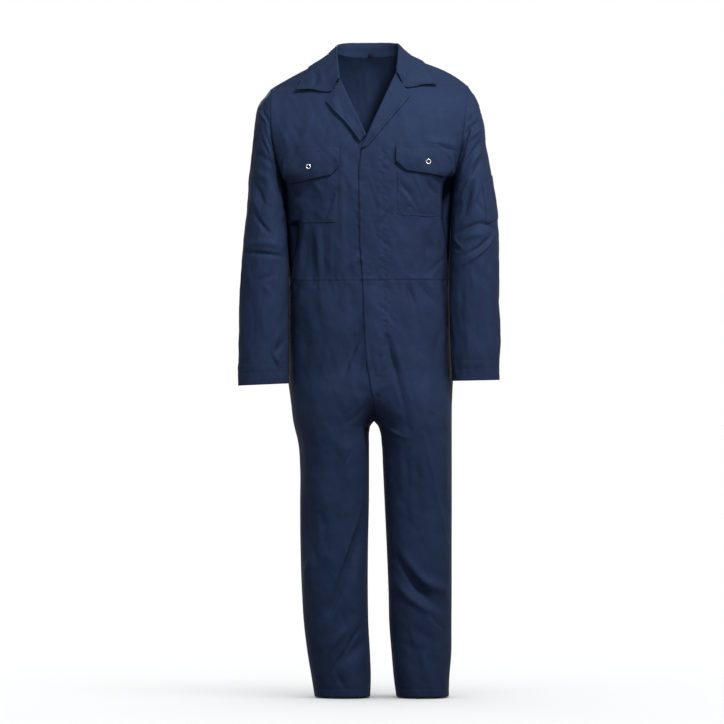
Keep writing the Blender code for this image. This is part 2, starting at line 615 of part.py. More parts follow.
def column_spread(count):
    """Shares from 0 to 1 that close up towards 1, where the section turns away."""
    return np.sin(np.linspace(0, np.pi / 2, count + 1))


def torso_side(share, side):
    """Where the armhole and side seam is, a share of the way down: x, z and how far the armhole has gone."""
    z = SHOULDER_END_Z[side] + (waist_height(UNDERARM_X[side]) - SHOULDER_END_Z[side]) * share
    in_armhole = share < UNDERARM_SHARE
    armhole_x = armhole_point(side, share / UNDERARM_SHARE)[0]
    return np.where(in_armhole, armhole_x, by_height(z, BODY, 1 + side)), z


def armhole_normals(side, face, share):
    """Seam directions that the torso and the sleeve share round the armhole."""
    angle = np.arccos(1 - 2 * np.clip(share / UNDERARM_SHARE, 0, 1))
    out = 0.85 * np.sin(angle) ** 2 + 0.25 * (1 + np.cos(angle)) / 2
    directions = np.stack((TOWARDS[side] * out, TOWARDS[face] * np.sin(angle), np.cos(angle)), axis=-1)
    return directions / np.linalg.norm(directions, axis=-1, keepdims=True)


def set_armhole(points, normals, column, side, face, rows):
    """Puts the grid's side column exactly on the armhole seam."""
    for index, share in enumerate(rows):
        if share <= UNDERARM_SHARE + 1e-9:
            x, z, depth = armhole_point(side, share / UNDERARM_SHARE)
            points[index, column] = (x, TOWARDS[face] * depth, z)
            normals[index, column] = armhole_normals(side, face, share)


def level_shoulder(normals, columns):
    """Front and back share one direction along the shoulder seam."""
    normals[0, columns, 1] = 0
    normals[0, columns] /= np.linalg.norm(normals[0, columns], axis=-1, keepdims=True)


def front(name, side, edge_table):
    rows = panel_rows()
    spread = column_spread(CHEST_COLUMNS)
    x = np.zeros((len(rows), len(spread)))
    z = np.zeros_like(x)
    shoulder_x = abs(SHOULDER_END_X[side])
    for index, share in enumerate(rows):
        reach = abs(torso_side(share, side)[0])
        edge = straight_by_height(edge_height(share), edge_table, 1) * TOWARDS[side] / reach
        across = edge + (1 - edge) * spread
        x[index] = TOWARDS[side] * across * reach
        shoulder = ridge_height(across * TOWARDS[side] * shoulder_x)
        top = np.where(across * shoulder_x > NECK_HALF, shoulder, NECK_HEIGHT)
        z[index] = top * (1 - share) + waist_height(x[index]) * share
    lift = -lap_drop(x, z) if side == RIGHT else 0.0
    points, normals = on_body(x, z, FRONT, lift)
    level_shoulder(normals, np.arange(len(spread)))
    set_armhole(points, normals, -1, side, FRONT, rows)
    points = pulled_in(points, row_start=True, row_end=True, column_end=True)
    return wall(name, points, normals, NAVY)


def back():
    rows = panel_rows()
    spread = column_spread(CHEST_COLUMNS)
    x_rows, z_rows = [], []
    for share in rows:
        x_parts, z_parts = [], []
        for side in (RIGHT, LEFT):
            reach = abs(torso_side(share, side)[0])
            shoulder_x = abs(SHOULDER_END_X[side])
            neck = NECK_HALF / shoulder_x
            outer = neck + (1 - neck) * spread
            across = np.concatenate((np.linspace(0, neck, BACK_NECK_COLUMNS // 2 + 1)[:-1], outer))
            top_x = TOWARDS[side] * across * shoulder_x
            neckline = BACK_NECK_HEIGHT + (NECK_HEIGHT - BACK_NECK_HEIGHT) * (top_x / NECK_HALF) ** 2
            top = np.where(np.abs(top_x) < NECK_HALF - 1e-9, neckline, ridge_height(top_x))
            x_side = TOWARDS[side] * across * reach
            x_parts.append(x_side)
            z_parts.append(top * (1 - share) + waist_height(x_side) * share)
        x_rows.append(np.concatenate((x_parts[RIGHT][::-1], x_parts[LEFT][1:])))
        z_rows.append(np.concatenate((z_parts[RIGHT][::-1], z_parts[LEFT][1:])))
    points, normals = on_body(np.array(x_rows), np.array(z_rows), BACK)
    level_shoulder(normals, np.flatnonzero(np.abs(points[0, :, 0]) > NECK_HALF - 1e-9))
    set_armhole(points, normals, 0, RIGHT, BACK, rows)
    set_armhole(points, normals, -1, LEFT, BACK, rows)
    points = pulled_in(points, row_start=True, row_end=True, column_start=True, column_end=True)
    return wall("back", points, normals, NAVY)


def leg_rows():
    """Heights of the rows from the waist to the hem: the row at the crotch is number SEAT_ROWS."""
    closing = SEAT_ROWS // 2
    even = np.linspace(WAIST_HEIGHT, SEAT_TURN_HEIGHT, SEAT_ROWS - closing + 1)
    turns = np.sin(np.linspace(0, np.pi / 2, closing + 1)[1:])
    to_crotch = SEAT_TURN_HEIGHT + (CROTCH_HEIGHT - SEAT_TURN_HEIGHT) * turns
    under = CROTCH_HEIGHT - ROWS_UNDER_CROTCH
    legs = np.linspace(under[-1], HEM_HEIGHT + HEM_DEPTH, LEG_ROWS - 2)[1:]
    return np.concatenate((even, to_crotch, under, legs, (HEM_HEIGHT,)))


def trouser_panel(name, side, face, edge_table=None):
    heights = leg_rows()
    turns = np.linspace(0, 1, LEG_COLUMNS + 1)
    x = np.zeros((len(heights), len(turns)))
    z = np.zeros_like(x)
    for index, height in enumerate(heights):
        centre, half = leg_limits(height, side, face)
        outer = by_height(height, BODY, 1 + side)
        if height < CROTCH_HEIGHT:
            inner = by_height(height, INSIDE_LEGS, 1 + side)
        elif edge_table is not None and height > edge_table[-1, 0]:
            inner = straight_by_height(height, edge_table, 1)
        else:
            inner = by_height(height, MIDDLE, 1)
        start = np.arcsin(np.clip((inner - centre) / half * TOWARDS[side], -1, 1))
        angles = start + (np.pi / 2 - start) * turns
        x[index] = centre + TOWARDS[side] * half * np.sin(angles)
        x[index, 0], x[index, -1] = inner, outer
        z[index] = height + (waist_height(x[index]) - WAIST_HEIGHT) * max(0.0, 1 - index / SEAT_ROWS)
    lift = -lap_drop(x, z) if side == RIGHT and face == FRONT else 0.0
    points, normals = on_body(x, z, face, lift)
    crotch = SEAT_ROWS
    normals[crotch, 0] = (0, 0, -1)
    points = pulled_in(points, row_start=True, column_end=True)
    inner_way = np.zeros((len(heights), 3))
    inner_way[: crotch + 1, 0] = TOWARDS[side]
    inner_way[crotch:, 1] = TOWARDS[face]
    if edge_table is not None:
        inner_way[heights > edge_table[-1, 0]] = 0
    points[:, 0] += inner_way * HALF_GAP
    thickness = np.where(np.arange(len(heights)) >= len(heights) - 2, DOUBLE_CLOTH, CLOTH)[:, None]
    return wall(name, points, normals, NAVY, thickness)


def sleeve_rings(table, side, rings, shares):
    """Rings from the armhole to the cuff. The shares are of the armhole's height, front and then back."""
    angles = np.arccos(1 - 2 * shares)
    turns = np.concatenate((angles, 2 * np.pi - angles[-2:0:-1]))
    places = np.arange(len(table), dtype=float)
    columns = [spline(rings, places, column)[:, None] for column in table.T]
    outer_x, outer_z, inner_x, inner_z, middle_y, depth = columns
    across = np.cos(turns)[None, :]
    bow = np.clip(1 - rings / 4, 0, 1)[:, None] ** 2 * ARMHOLE_BOW[side] * np.sin(turns)[None, :] ** 2
    x = (outer_x + inner_x) / 2 + (outer_x - inner_x) / 2 * across + bow
    z = (outer_z + inner_z) / 2 + (outer_z - inner_z) / 2 * across
    y = middle_y - depth * np.sin(turns)[None, :]
    return np.stack((x, y, z), axis=-1), turns


def with_sleeve_folds(points, normals):
    heights = np.zeros(points.shape[:2])
    for face in (FRONT, BACK):
        folds = SLEEVE_FOLDS[SLEEVE_FOLDS[:, 8] == face]
        facing = np.clip(normals[..., 1] * TOWARDS[face], 0, 1)
        heights += relief(points[..., 0], points[..., 2], folds) * ease(facing * 1.6)
    calm = ease(np.arange(len(points)) / 2.5)[:, None]
    return points + normals * (heights * calm)[..., None]


def sleeve_surface(side, table):
    shares = (1 - np.cos(np.linspace(0, np.pi, ARMHOLE_ROWS + 1))) / 2
    last = len(table) - 1
    rings = np.concatenate((np.linspace(0, last - CUFF_HEM, SLEEVE_RINGS - 1), (last,)))
    points, turns = sleeve_rings(table, side, rings, shares)
    normals = grid_normals(points, around=True) * -TOWARDS[side]
    points = with_sleeve_folds(points, normals)
    for column, turn in enumerate(turns):
        face = FRONT if np.sin(turn) > -1e-9 else BACK
        share = UNDERARM_SHARE * (1 - np.cos(turn)) / 2
        normals[0, column] = armhole_normals(side, face, share)
    return points, normals


def sleeve(name, side, table):
    points, normals = sleeve_surface(side, table)
    points = pulled_in(points, row_start=True)
    thickness = np.full((SLEEVE_RINGS, 1), CLOTH)
    thickness[-2:] = DOUBLE_CLOTH
    return wall(name, points, normals, NAVY, thickness, around=True)


def height_on_body(x, y):
    """The height at which the body passes under a place in plan, found by halving."""
    face = FRONT if y < 0 else BACK
    top, bottom = float(ridge_height(x)), -0.30
    for _ in range(40):
        middle = (top + bottom) / 2
        if float(torso_depth(np.float64(x), np.float64(middle), face)) < abs(y):
            top = middle
        else:
            bottom = middle
    return (top + bottom) / 2


def above_body(x, y, lift):
    face = FRONT if y < 0 else BACK
    point, _ = on_body(x, height_on_body(x, y), face, lift)
    return point


def collar_section(row):
    """One section from the neck seam up the stand, over the fold and down the fall."""
    seam_x, seam_y, fold_x, fold_y, fold_z, fall_x, fall_y, fall_lift, edge_x, edge_y, edge_lift = row
    seam = np.array((seam_x, seam_y, height_on_body(seam_x, seam_y) + STAND_GAP))
    fold = np.array((fold_x, fold_y, fold_z))
    fall = above_body(fall_x, fall_y, fall_lift)
    edge = above_body(edge_x, edge_y, edge_lift)
    out = fall - fold
    out[2] = 0
    out /= np.linalg.norm(out)
    inside = fold - out * FOLD_INSIDE[0] - np.array((0, 0, FOLD_INSIDE[1]))
    outside = fold + out * FOLD_OUTSIDE[0] - np.array((0, 0, FOLD_OUTSIDE[1]))
    leaf = above_body((fall_x + edge_x) / 2, (fall_y + edge_y) / 2, (fall_lift + edge_lift) / 2)
    knots = np.array((seam, (seam + inside) / 2, inside, fold, outside, fall, leaf, edge))
    lengths = np.concatenate(((0,), np.cumsum(np.linalg.norm(np.diff(knots, axis=0), axis=1))))
    places = np.arange(len(knots))
    spread = np.interp(np.linspace(0, places[-1], COLLAR_POINTS), places, lengths)
    return np.stack([spline(spread, lengths, knots[:, k]) for k in range(3)], axis=-1)


def collar():
    halves = []
    for table in (RIGHT_COLLAR, LEFT_COLLAR):
        at = np.linspace(0, len(table) - 1, COLLAR_SECTIONS)
        places = np.arange(len(table), dtype=float)
        rows = np.stack([spline(at, places, column) for column in table.T], axis=-1)
        halves.append([collar_section(row) for row in rows])
    points = np.array(halves[RIGHT][::-1] + halves[LEFT][1:])
    return wall("collar", points, grid_normals(points), DEEP_NAVY)


def lapel(name, side, table, edge_table):
    """The front's turned-back top: it curls round the roll line and lies on the chest."""
    along = np.linspace(0, len(table) - 1, LAPEL_ROWS)
    places = np.arange(len(table), dtype=float)
    roll_z, outer_x, outer_z = (np.interp(along, places, table[:, k]) for k in range(3))
    front_rows = edge_height(panel_rows())
    roll_x = np.interp(-roll_z, -front_rows, straight_by_height(front_rows, edge_table, 1))
    rows = []
    for index in range(len(along)):
        start = np.array((roll_x[index], roll_z[index]))
        way = np.array((outer_x[index], outer_z[index])) - start
        width = np.linalg.norm(way)
        way /= width
        base, normal = on_body(start[0], start[1], FRONT)
        towards_edge = np.array((way[0], 0, way[1]))
        towards_edge -= normal * (towards_edge @ normal)
        row = []
        for angle in np.linspace(LAPEL_START_ANGLE, np.pi, LAPEL_CURL_POINTS + 1)[:-1]:
            curl = normal * (1 - np.cos(angle)) - towards_edge * np.sin(angle)
            row.append(base + LAPEL_ROLL * curl)
        for share in np.linspace(0, 1, LAPEL_POINTS):
            place = start + way * width * share
            lift = LAPEL_EDGE_LIFT + (2 * LAPEL_ROLL - LAPEL_EDGE_LIFT) * (1 - share) ** 2
            row.append(on_body(place[0], place[1], FRONT, lift)[0])
        rows.append(row)
    points = np.array(rows)
    return wall(name, points, grid_normals(points), NAVY)


def patch_grid(outline, columns, rows):
    """Places (x, z) that fill an outline given by its top and bottom edges."""
    across = np.linspace(0, 1, columns)
    places = (outline[:, 0] - outline[0, 0]) / (outline[-1, 0] - outline[0, 0])
    x, top, bottom = (np.interp(across, places, outline[:, k]) for k in range(3))
    down = np.linspace(0, 1, rows)[:, None]
    return np.broadcast_to(x, (rows, columns)), top * (1 - down) + bottom * down


def patch(name, outline, lift, grid, colour):
    """A piece sewn on the chest: lower at its edges than in its middle."""
    columns, rows = grid
    x, z = patch_grid(outline, columns, rows)
    across, down = np.meshgrid(np.linspace(0, 1, columns), np.linspace(0, 1, rows))
    from_edge = np.minimum(np.minimum(across, 1 - across), np.minimum(down, 1 - down))
    points, normals = on_body(x, z, FRONT, lift + PATCH_BULGE * ease(from_edge / PATCH_EDGE))
    return wall(name, points, normals, colour)


def pen_pocket():
    """Made from the sleeve's own points, so that it follows the folds under it."""
    points, normals = sleeve_surface(LEFT, LEFT_SLEEVE)
    picked = np.ix_(PEN_POCKET_RINGS, PEN_POCKET_COLUMNS)
    points = (points + normals * PEN_POCKET_LIFT)[picked]
    return wall("sleeve_pocket", points, normals[picked], DEEP_NAVY)


def stud(name, place):
    """A ring stud with a hollow middle, seated on the flap."""
    seat = FLAP_LIFT + PATCH_BULGE + CLOTH / 2 + STUD_GAP
    base, normal = on_body(place[0], place[1], FRONT, seat)
    side = np.cross(normal, (0, 0, 1))
    side /= np.linalg.norm(side)
    up = np.cross(side, normal)
    corners, loops = [], []
    for radius, height in STUD_PROFILE:
        centre = base + normal * height * STUD_HEIGHT
        if radius == 0:
            loops.append([len(corners)] * STUD_SEGMENTS)
            corners.append(centre)
            continue
        loops.append(list(range(len(corners), len(corners) + STUD_SEGMENTS)))
        for turn in np.linspace(0, 2 * np.pi, STUD_SEGMENTS, endpoint=False):
            corners.append(centre + STUD_RADIUS * radius * (side * np.cos(turn) + up * np.sin(turn)))
    faces = []
    for lower, upper in zip(loops, loops[1:]):
        for k in range(STUD_SEGMENTS):
            beside = (k + 1) % STUD_SEGMENTS
            quad = [lower[k], lower[beside], upper[beside], upper[k]]
            faces.append(list(dict.fromkeys(quad)))
    return solid(name, corners, faces, STEEL, roughness=0.3, metallic=1.0)


def size_tab():
    width, thick, height = TAB_SIZE
    middle = np.array((TAB_X, TAB_Y, TAB_TOP - height / 2))
    signs = [(a, b, c) for a in (-1, 1) for b in (-1, 1) for c in (-1, 1)]
    corners = [middle + np.array((a * width, b * thick, c * height)) / 2 for a, b, c in signs]
    faces = [(0, 1, 3, 2), (4, 6, 7, 5), (0, 4, 5, 1), (2, 3, 7, 6), (0, 2, 6, 4), (1, 5, 7, 3)]
    return solid("size_tab", corners, faces, BLACK)


def build():
    for existing in list(bpy.data.objects):
        bpy.data.objects.remove(existing)
    front("front_left", LEFT, LEFT_EDGE)
    front("front_right", RIGHT, RIGHT_EDGE)
    back()
    trouser_panel("trouser_front_left", LEFT, FRONT, LEFT_EDGE)
    trouser_panel("trouser_front_right", RIGHT, FRONT, RIGHT_EDGE)
    trouser_panel("trouser_back_left", LEFT, BACK)
    trouser_panel("trouser_back_right", RIGHT, BACK)
    sleeve("sleeve_left", LEFT, LEFT_SLEEVE)
    sleeve("sleeve_right", RIGHT, RIGHT_SLEEVE)
    collar()
    lapel("lapel_left", LEFT, LEFT_LAPEL, LEFT_EDGE)
    lapel("lapel_right", RIGHT, RIGHT_LAPEL, RIGHT_EDGE)
    patch("chest_pocket_left", LEFT_POCKET, POCKET_LIFT, POCKET_GRID, NAVY)
    patch("chest_pocket_right", RIGHT_POCKET, POCKET_LIFT, POCKET_GRID, NAVY)
    patch("pocket_flap_left", LEFT_FLAP, FLAP_LIFT, FLAP_GRID, DEEP_NAVY)
    patch("pocket_flap_right", RIGHT_FLAP, FLAP_LIFT, FLAP_GRID, DEEP_NAVY)
    stud("stud_left", STUD_PLACES[LEFT])
    stud("stud_right", STUD_PLACES[RIGHT])
    pen_pocket()
    size_tab()


build()
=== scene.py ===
"""The worn boiler suit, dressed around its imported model: cloth shells, folds, seams, stitches, studs and light.

Metres, +Z up. The front faces -Y and +X is the wearer's left. The form functions and tables repeat the part's own.
"""
import json
import bpy
import numpy as np
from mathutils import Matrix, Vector

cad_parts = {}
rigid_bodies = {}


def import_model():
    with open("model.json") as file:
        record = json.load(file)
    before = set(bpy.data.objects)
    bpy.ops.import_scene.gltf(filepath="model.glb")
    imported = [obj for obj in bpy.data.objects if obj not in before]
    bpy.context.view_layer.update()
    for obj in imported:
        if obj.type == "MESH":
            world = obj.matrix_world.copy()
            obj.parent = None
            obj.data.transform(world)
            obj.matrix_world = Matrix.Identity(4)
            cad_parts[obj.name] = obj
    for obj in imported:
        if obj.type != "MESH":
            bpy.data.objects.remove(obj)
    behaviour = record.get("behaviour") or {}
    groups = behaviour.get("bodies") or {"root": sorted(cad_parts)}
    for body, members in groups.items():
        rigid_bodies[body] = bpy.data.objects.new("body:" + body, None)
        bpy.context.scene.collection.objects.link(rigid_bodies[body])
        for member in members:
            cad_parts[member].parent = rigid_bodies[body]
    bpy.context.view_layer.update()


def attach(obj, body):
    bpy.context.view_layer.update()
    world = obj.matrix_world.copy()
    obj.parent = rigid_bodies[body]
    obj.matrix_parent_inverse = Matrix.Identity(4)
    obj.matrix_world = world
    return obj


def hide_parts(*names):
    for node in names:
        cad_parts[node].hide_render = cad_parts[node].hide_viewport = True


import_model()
RIGHT, LEFT = 0, 1
FRONT, BACK = 0, 1
TOWARDS = np.array((-1.0, 1.0))
LEVEL = np.array((1.0, 1.0, 0.0))


def metres(*rows):
    """A table in metres whose rows are written in tenths of a millimetre."""
    return np.array(rows) / 10000


# Shoulders and neck. Pairs are (wearer's right, wearer's left).
NECK_HALF = 0.078
NECK_HEIGHT = 0.018
BACK_NECK_HEIGHT = 0.010
NECK_ARCH = 0.014
SHOULDER_END_X = np.array((-0.236, 0.243))
SHOULDER_END_Z = np.array((-0.0675, -0.060))
SHOULDER_BULGE = np.array((0.002, 0.010))
CHEST_ROUNDING = np.array((0.27, 0.18))
SECTION_POWER = 2.3

# Armholes.
UNDERARM_X = np.array((-0.207, 0.2105))
UNDERARM_SHARE = 0.49
ARMHOLE_BOW = np.array((-0.0145, 0.007))
ARMHOLE_DEPTH = 0.072
ARMHOLE_FADE = 1.35

# Heights of the main seams.
WAIST_HEIGHT = -0.541
WAIST_TILT = 0.008
CROTCH_HEIGHT = -0.885
HEM_HEIGHT = -1.561
CROTCH_CURVE_TOP = np.array((-0.76, -0.70))
# Rows of the trousers close up from this height to the crotch.
SEAT_TURN_HEIGHT = -0.74

# height, side at the wearer's right, side at the left, depth in front, depth behind, y of the side seams
BODY = metres(
    (320, -1800, 1800, 1140, 1120, 0), (-1000, -2050, 2080, 1210, 1170, 0),
    (-2000, -2070, 2100, 1260, 1230, 0), (-2950, -2075, 2115, 1270, 1210, 0),
    (-3200, -2025, 2065, 1280, 1170, 20), (-3600, -2005, 2045, 1310, 1080, 70),
    (-4200, -1980, 2025, 1320, 990, 120), (-4800, -1955, 2005, 1320, 930, 160),
    (-5410, -1940, 1990, 1320, 910, 180), (-6000, -1940, 1995, 1350, 960, 180),
    (-6600, -1940, 2005, 1370, 1040, 180), (-7200, -1940, 2025, 1380, 1090, 180),
    (-7800, -1930, 2055, 1380, 1090, 180), (-8300, -1895, 2060, 1340, 1070, 160),
    (-8850, -1835, 2058, 1240, 1040, 120), (-9430, -1705, 2058, 1130, 970, 90),
    (-10000, -1665, 2058, 1030, 940, 70), (-10900, -1665, 2058, 940, 880, 50),
    (-12000, -1655, 2055, 900, 820, 40), (-13100, -1617, 2055, 880, 800, 40),
    (-13840, -1570, 2050, 850, 800, 40), (-14570, -1480, 2045, 830, 790, 50),
    (-15200, -1375, 1995, 810, 770, 60), (-15610, -1310, 1985, 800, 770, 60),
)

# height, inner edge of the wearer's right leg, inner edge of the left leg
INSIDE_LEGS = metres(
    (-8850, 147, 147), (-8960, 60, 245), (-9100, 27, 300), (-9430, 22, 345),
    (-10000, 22, 375), (-10900, 18, 417), (-11800, -2, 460), (-13100, -8, 512),
    (-13840, 5, 530), (-14570, 45, 588), (-15200, 65, 645), (-15610, 50, 700),
)

# height, middle of the trousers above the crotch
MIDDLE = metres(
    (-5410, 0),
    (-6800, 10),
    (-7800, 50),
    (-8450, 135),
    (-8850, 147),
)

# height, edge of the wearer's left front: neck seam, roll line, closing edge, fly edge
LEFT_EDGE = metres(
    (180, 780), (-340, 700), (-2230, -157), (-2670, -215),
    (-4410, -196), (-5410, -122), (-6500, -85), (-7400, -30),
    (-7900, 60),
)

# height, edge of the wearer's right front, which passes under the left one
RIGHT_EDGE = metres(
    (180, -780), (-490, -710), (-1900, -60), (-2220, 100),
    (-2600, 220), (-5410, 220), (-7000, 160), (-7900, 60),
)
LAP_TOP = -0.165
LAP_BOTTOM = -0.830
LAP_DROP = 0.0033
LAP_START, LAP_FULL = 0.044, 0.028
LAP_EASE = 0.021

# A fold's cross-section, how far it reaches in half-widths, how many places along it are tried, and how far from a
# seam the folds fade out.
FOLD_SHARPNESS, FOLD_SWELL = 1.8, 0.45
FOLD_REACH = 2.2
FOLD_PLACES = 25
# The step over which the form's slopes are taken.
SLOPE_STEP = 0.0005
FADE_AT_ARMHOLE, FADE_AT_SHOULDER, FADE_AT_LEG_SEAM = 0.020, 0.030, 0.016

# Folds of the front, seen from the front: three places that each passes, its half-width and its height.
# A trough has a negative height.
FRONT_FOLDS = metres(
    # x, z, x, z, x, z, half-width, height
    (-760, -3140, -940, -3490, -1080, -3870, 160, -40), (-1420, -4000, -1410, -4700, -1360, -5600, 240, -70),
    (-1030, -4100, -1060, -4800, -1080, -5350, 180, -45), (-520, -5180, -360, -4980, -180, -4780, 150, 35),
    (780, -3040, 960, -3220, 1180, -3400, 150, -40), (1400, -2020, 1820, -2040, 2220, -2160, 140, 35),
    (1520, -4200, 1480, -4700, 1500, -5350, 220, -45), (955, -5450, 1040, -5830, 1150, -6200, 140, -45),
    (1320, -5450, 1460, -5700, 1600, -5950, 130, -40), (-113, -6400, -400, -7050, -640, -7750, 220, -80),
    (420, -6650, 560, -7220, 700, -7820, 180, -60), (343, -8746, 563, -9065, 980, -9261, 73, 32),
    (711, -8722, 906, -8967, 1078, -9187, 140, -18), (-196, -8795, -588, -9016, -1053, -9138, 201, 10),
    (-40, -11120, -560, -12580, -1010, -13650, 260, -110), (-1600, -10600, -1500, -11500, -1340, -12400, 300, -80),
    (-1390, -12150, -1480, -12620, -1560, -13080, 180, 50), (24, -14185, -392, -14528, -906, -14970, 221, -60),
    (0, -13205, -441, -13941, -1103, -14406, 221, 30), (1348, -9114, 1691, -10657, 2009, -12152, 64, 26),
    (850, -12000, 1320, -12720, 2000, -12970, 200, 85), (780, -12240, 1180, -12860, 1660, -13400, 180, -90),
    (620, -12700, 1080, -13220, 1600, -13520, 160, 65), (1053, -13867, 1372, -14087, 1715, -14308, 179, -26),
    (760, -14234, 1029, -14357, 1372, -14479, 140, -16),
)
BACK_FOLDS = metres(
    (-1200, -2150, -950, -3300, -880, -5000, 300, -60), (1280, -2050, 1080, -3200, 980, -5150, 300, -65),
    (-200, -3600, -160, -4500, -220, -5600, 240, 50), (480, -4000, 520, -4700, 460, -5800, 220, -45),
    (-600, -4700, -580, -5500, -660, -6400, 200, -45), (1200, -5450, 1100, -6000, 1050, -6700, 180, -40),
    (120, -8000, -300, -8600, -1000, -9050, 260, -80), (160, -8150, 580, -8680, 1300, -9200, 260, -85),
    (40, -10200, -500, -10900, -1100, -11300, 260, 65), (-100, -11500, -700, -11850, -1500, -11900, 240, -85),
    (-200, -12250, -750, -12500, -1400, -12850, 240, 70), (-80, -13500, -600, -14000, -1200, -14200, 220, -70),
    (480, -10400, 1100, -11100, 1700, -11400, 260, 60), (600, -11600, 1200, -11980, 1900, -12000, 240, -90),
    (640, -12400, 1150, -12620, 1800, -13050, 240, 70), (700, -13650, 1200, -14120, 1850, -14250, 220, -70),
)

# Sleeves, from the armhole to the cuff:
# outer edge x and z, inner edge x and z, middle y, half-depth
RIGHT_SLEEVE = metres(
    (-2360, -675, -2070, -3005, 0, 720), (-2560, -915, -2104, -3096, -10, 750),
    (-2700, -1180, -2108, -3180, -20, 765), (-2780, -1560, -2096, -3310, -40, 770),
    (-2830, -2130, -2066, -3500, -60, 760), (-2900, -2830, -2028, -3830, -100, 730),
    (-2975, -3600, -1990, -4300, -150, 700), (-3060, -4400, -1960, -4850, -200, 670),
    (-3115, -5300, -1940, -5550, -250, 630), (-3165, -6300, -1935, -6400, -300, 580),
    (-3185, -7200, -1935, -7240, -360, 510), (-3175, -7975, -1940, -7920, -420, 430),
)
LEFT_SLEEVE = metres(
    (2430, -600, 2105, -2947, 0, 720), (2650, -900, 2130, -3040, -10, 750),
    (2755, -1170, 2140, -3140, -20, 770), (2830, -1550, 2138, -3280, -40, 780),
    (2920, -2110, 2116, -3500, -60, 770), (3045, -2850, 2078, -3850, -100, 740),
    (3150, -3630, 2046, -4330, -150, 710), (3205, -4450, 2010, -4880, -200, 680),
    (3220, -5300, 2000, -5530, -250, 640), (3225, -6300, 2005, -6360, -300, 580),
    (3235, -7150, 2035, -7140, -360, 510), (3200, -7835, 2072, -7860, -420, 430),
)

# Half of the collar, from the centre back to the front end, plan places (x, y):
# seam, fold with its height, middle of the fall, outer edge
RIGHT_COLLAR = metres(
    # seam x, y, fold x, y, z, fall middle x, y, lift, edge x, y, lift
    (0, 575, 0, 560, 480, 0, 700, 100, 0, 840, 50),
    (-420, 480, -470, 480, 470, -560, 600, 100, -640, 720, 50),
    (-700, 250, -700, 270, 430, -890, 350, 100, -1090, 430, 50),
    (-790, 0, -765, 10, 360, -1050, 20, 90, -1370, 20, 60),
    (-790, -250, -765, -240, 160, -1100, -280, 90, -1560, -300, 60),
    (-765, -500, -745, -520, -60, -1060, -580, 80, -1675, -480, 70),
    (-730, -760, -710, -875, -455, -890, -872, 50, -1740, -590, 70),
)
LEFT_COLLAR = metres(
    (0, 575, 0, 560, 480, 0, 700, 100, 0, 840, 50),
    (420, 480, 470, 480, 475, 560, 600, 100, 640, 720, 50),
    (700, 250, 700, 270, 450, 880, 350, 100, 1060, 430, 50),
    (790, 0, 760, 10, 400, 1030, 20, 90, 1290, 20, 60),
    (790, -220, 755, -210, 230, 1060, -260, 90, 1480, -290, 60),
    (770, -430, 735, -440, 50, 1040, -540, 80, 1610, -460, 70),
    (735, -660, 700, -770, -320, 895, -830, 50, 1690, -590, 70),
)

# Lapels, from the gorge down: roll line height, then outer edge x and z.
RIGHT_LAPEL = metres(
    (-545, -1017, -1045),
    (-900, -810, -1290),
    (-1300, -560, -1540),
    (-1620, -360, -1790),
    (-1880, -190, -2020),
)
LEFT_LAPEL = metres(
    (-395, 1030, -900),
    (-850, 800, -1170),
    (-1350, 520, -1500),
    (-1800, 240, -1830),
    (-2180, -30, -2150),
)
LAPEL_ROLL = 0.0034
LAPEL_EDGE_LIFT = 0.0034
LAPEL_START_ANGLE = 0.22
STAND_GAP = 0.0026
# Places beside the top of the collar's fold: how far in or out, and how far down.
FOLD_INSIDE, FOLD_OUTSIDE = (0.0016, 0.0035), (0.0048, 0.0030)

# Outlines on the chest, from the side nearer the closing: x, top edge height, bottom edge height.
RIGHT_POCKET = metres(
    (-765, -2320, -3990),
    (-1050, -2320, -4000),
    (-1580, -2320, -4000),
    (-1830, -2320, -3760),
)
LEFT_POCKET = metres(
    (715, -2220, -3640),
    (850, -2220, -3810),
    (1500, -2220, -3860),
    (1755, -2220, -3820),
)
RIGHT_FLAP = metres(
    (-698, -2160, -2585),
    (-894, -2170, -2830),
    (-1370, -2190, -2920),
    (-1838, -2240, -3010),
    (-2030, -2330, -2830),
)
LEFT_FLAP = metres(
    (679, -2110, -2475),
    (931, -2090, -2720),
    (1400, -2070, -2780),
    (1862, -2110, -2830),
    (2060, -2170, -2640),
)
STUD_PLACES = ((-0.1458, -0.2634), (0.1470, -0.2500))
# The tab's width, thickness and height, its place, and the rows and columns of its grid.
TAB_SIZE = (0.011, 0.0007, 0.010)
TAB_X, TAB_TOP, TAB_Y = 0.0074, 0.0225, 0.0528
TAB_GRID = (22, 14)


def spline(at, places, values):
    """A smooth curve through the values, which sit at rising places."""
    at = np.clip(at, places[0], places[-1])
    slopes = np.gradient(values, places)
    index = np.clip(np.searchsorted(places, at, side="right") - 1, 0, len(places) - 2)
    span = places[index + 1] - places[index]
    share = (at - places[index]) / span
    start, end = values[index], values[index + 1]
    leave, arrive = slopes[index] * span, slopes[index + 1] * span
    curve = (1 + 2 * share) * (1 - share) ** 2 * start + share * (1 - share) ** 2 * leave
    return curve + share**2 * (3 - 2 * share) * end + share**2 * (share - 1) * arrive


def by_height(z, table, column):
    """One column of a table whose rows go down from the top."""
    return spline(-np.asarray(z, float), -table[:, 0], table[:, column])


def straight_by_height(z, table, column):
    return np.interp(-np.asarray(z, float), -table[:, 0], table[:, column])


def spline_columns(at, places, values):
    """Smooth curves through each column of the values."""
    return np.stack([spline(at, places, column) for column in values.T], axis=-1)


def unit(vectors):
    return vectors / np.linalg.norm(vectors, axis=-1, keepdims=True)


def lengths_along(steps):
    """How far along a line each of its points is."""
    return np.concatenate(((0,), np.cumsum(steps)))


def ease(share):
    share = np.clip(share, 0.0, 1.0)
    return share * share * (3 - 2 * share)


def side_of(x, middle=0.0):
    return np.where(np.asarray(x) > middle, LEFT, RIGHT)


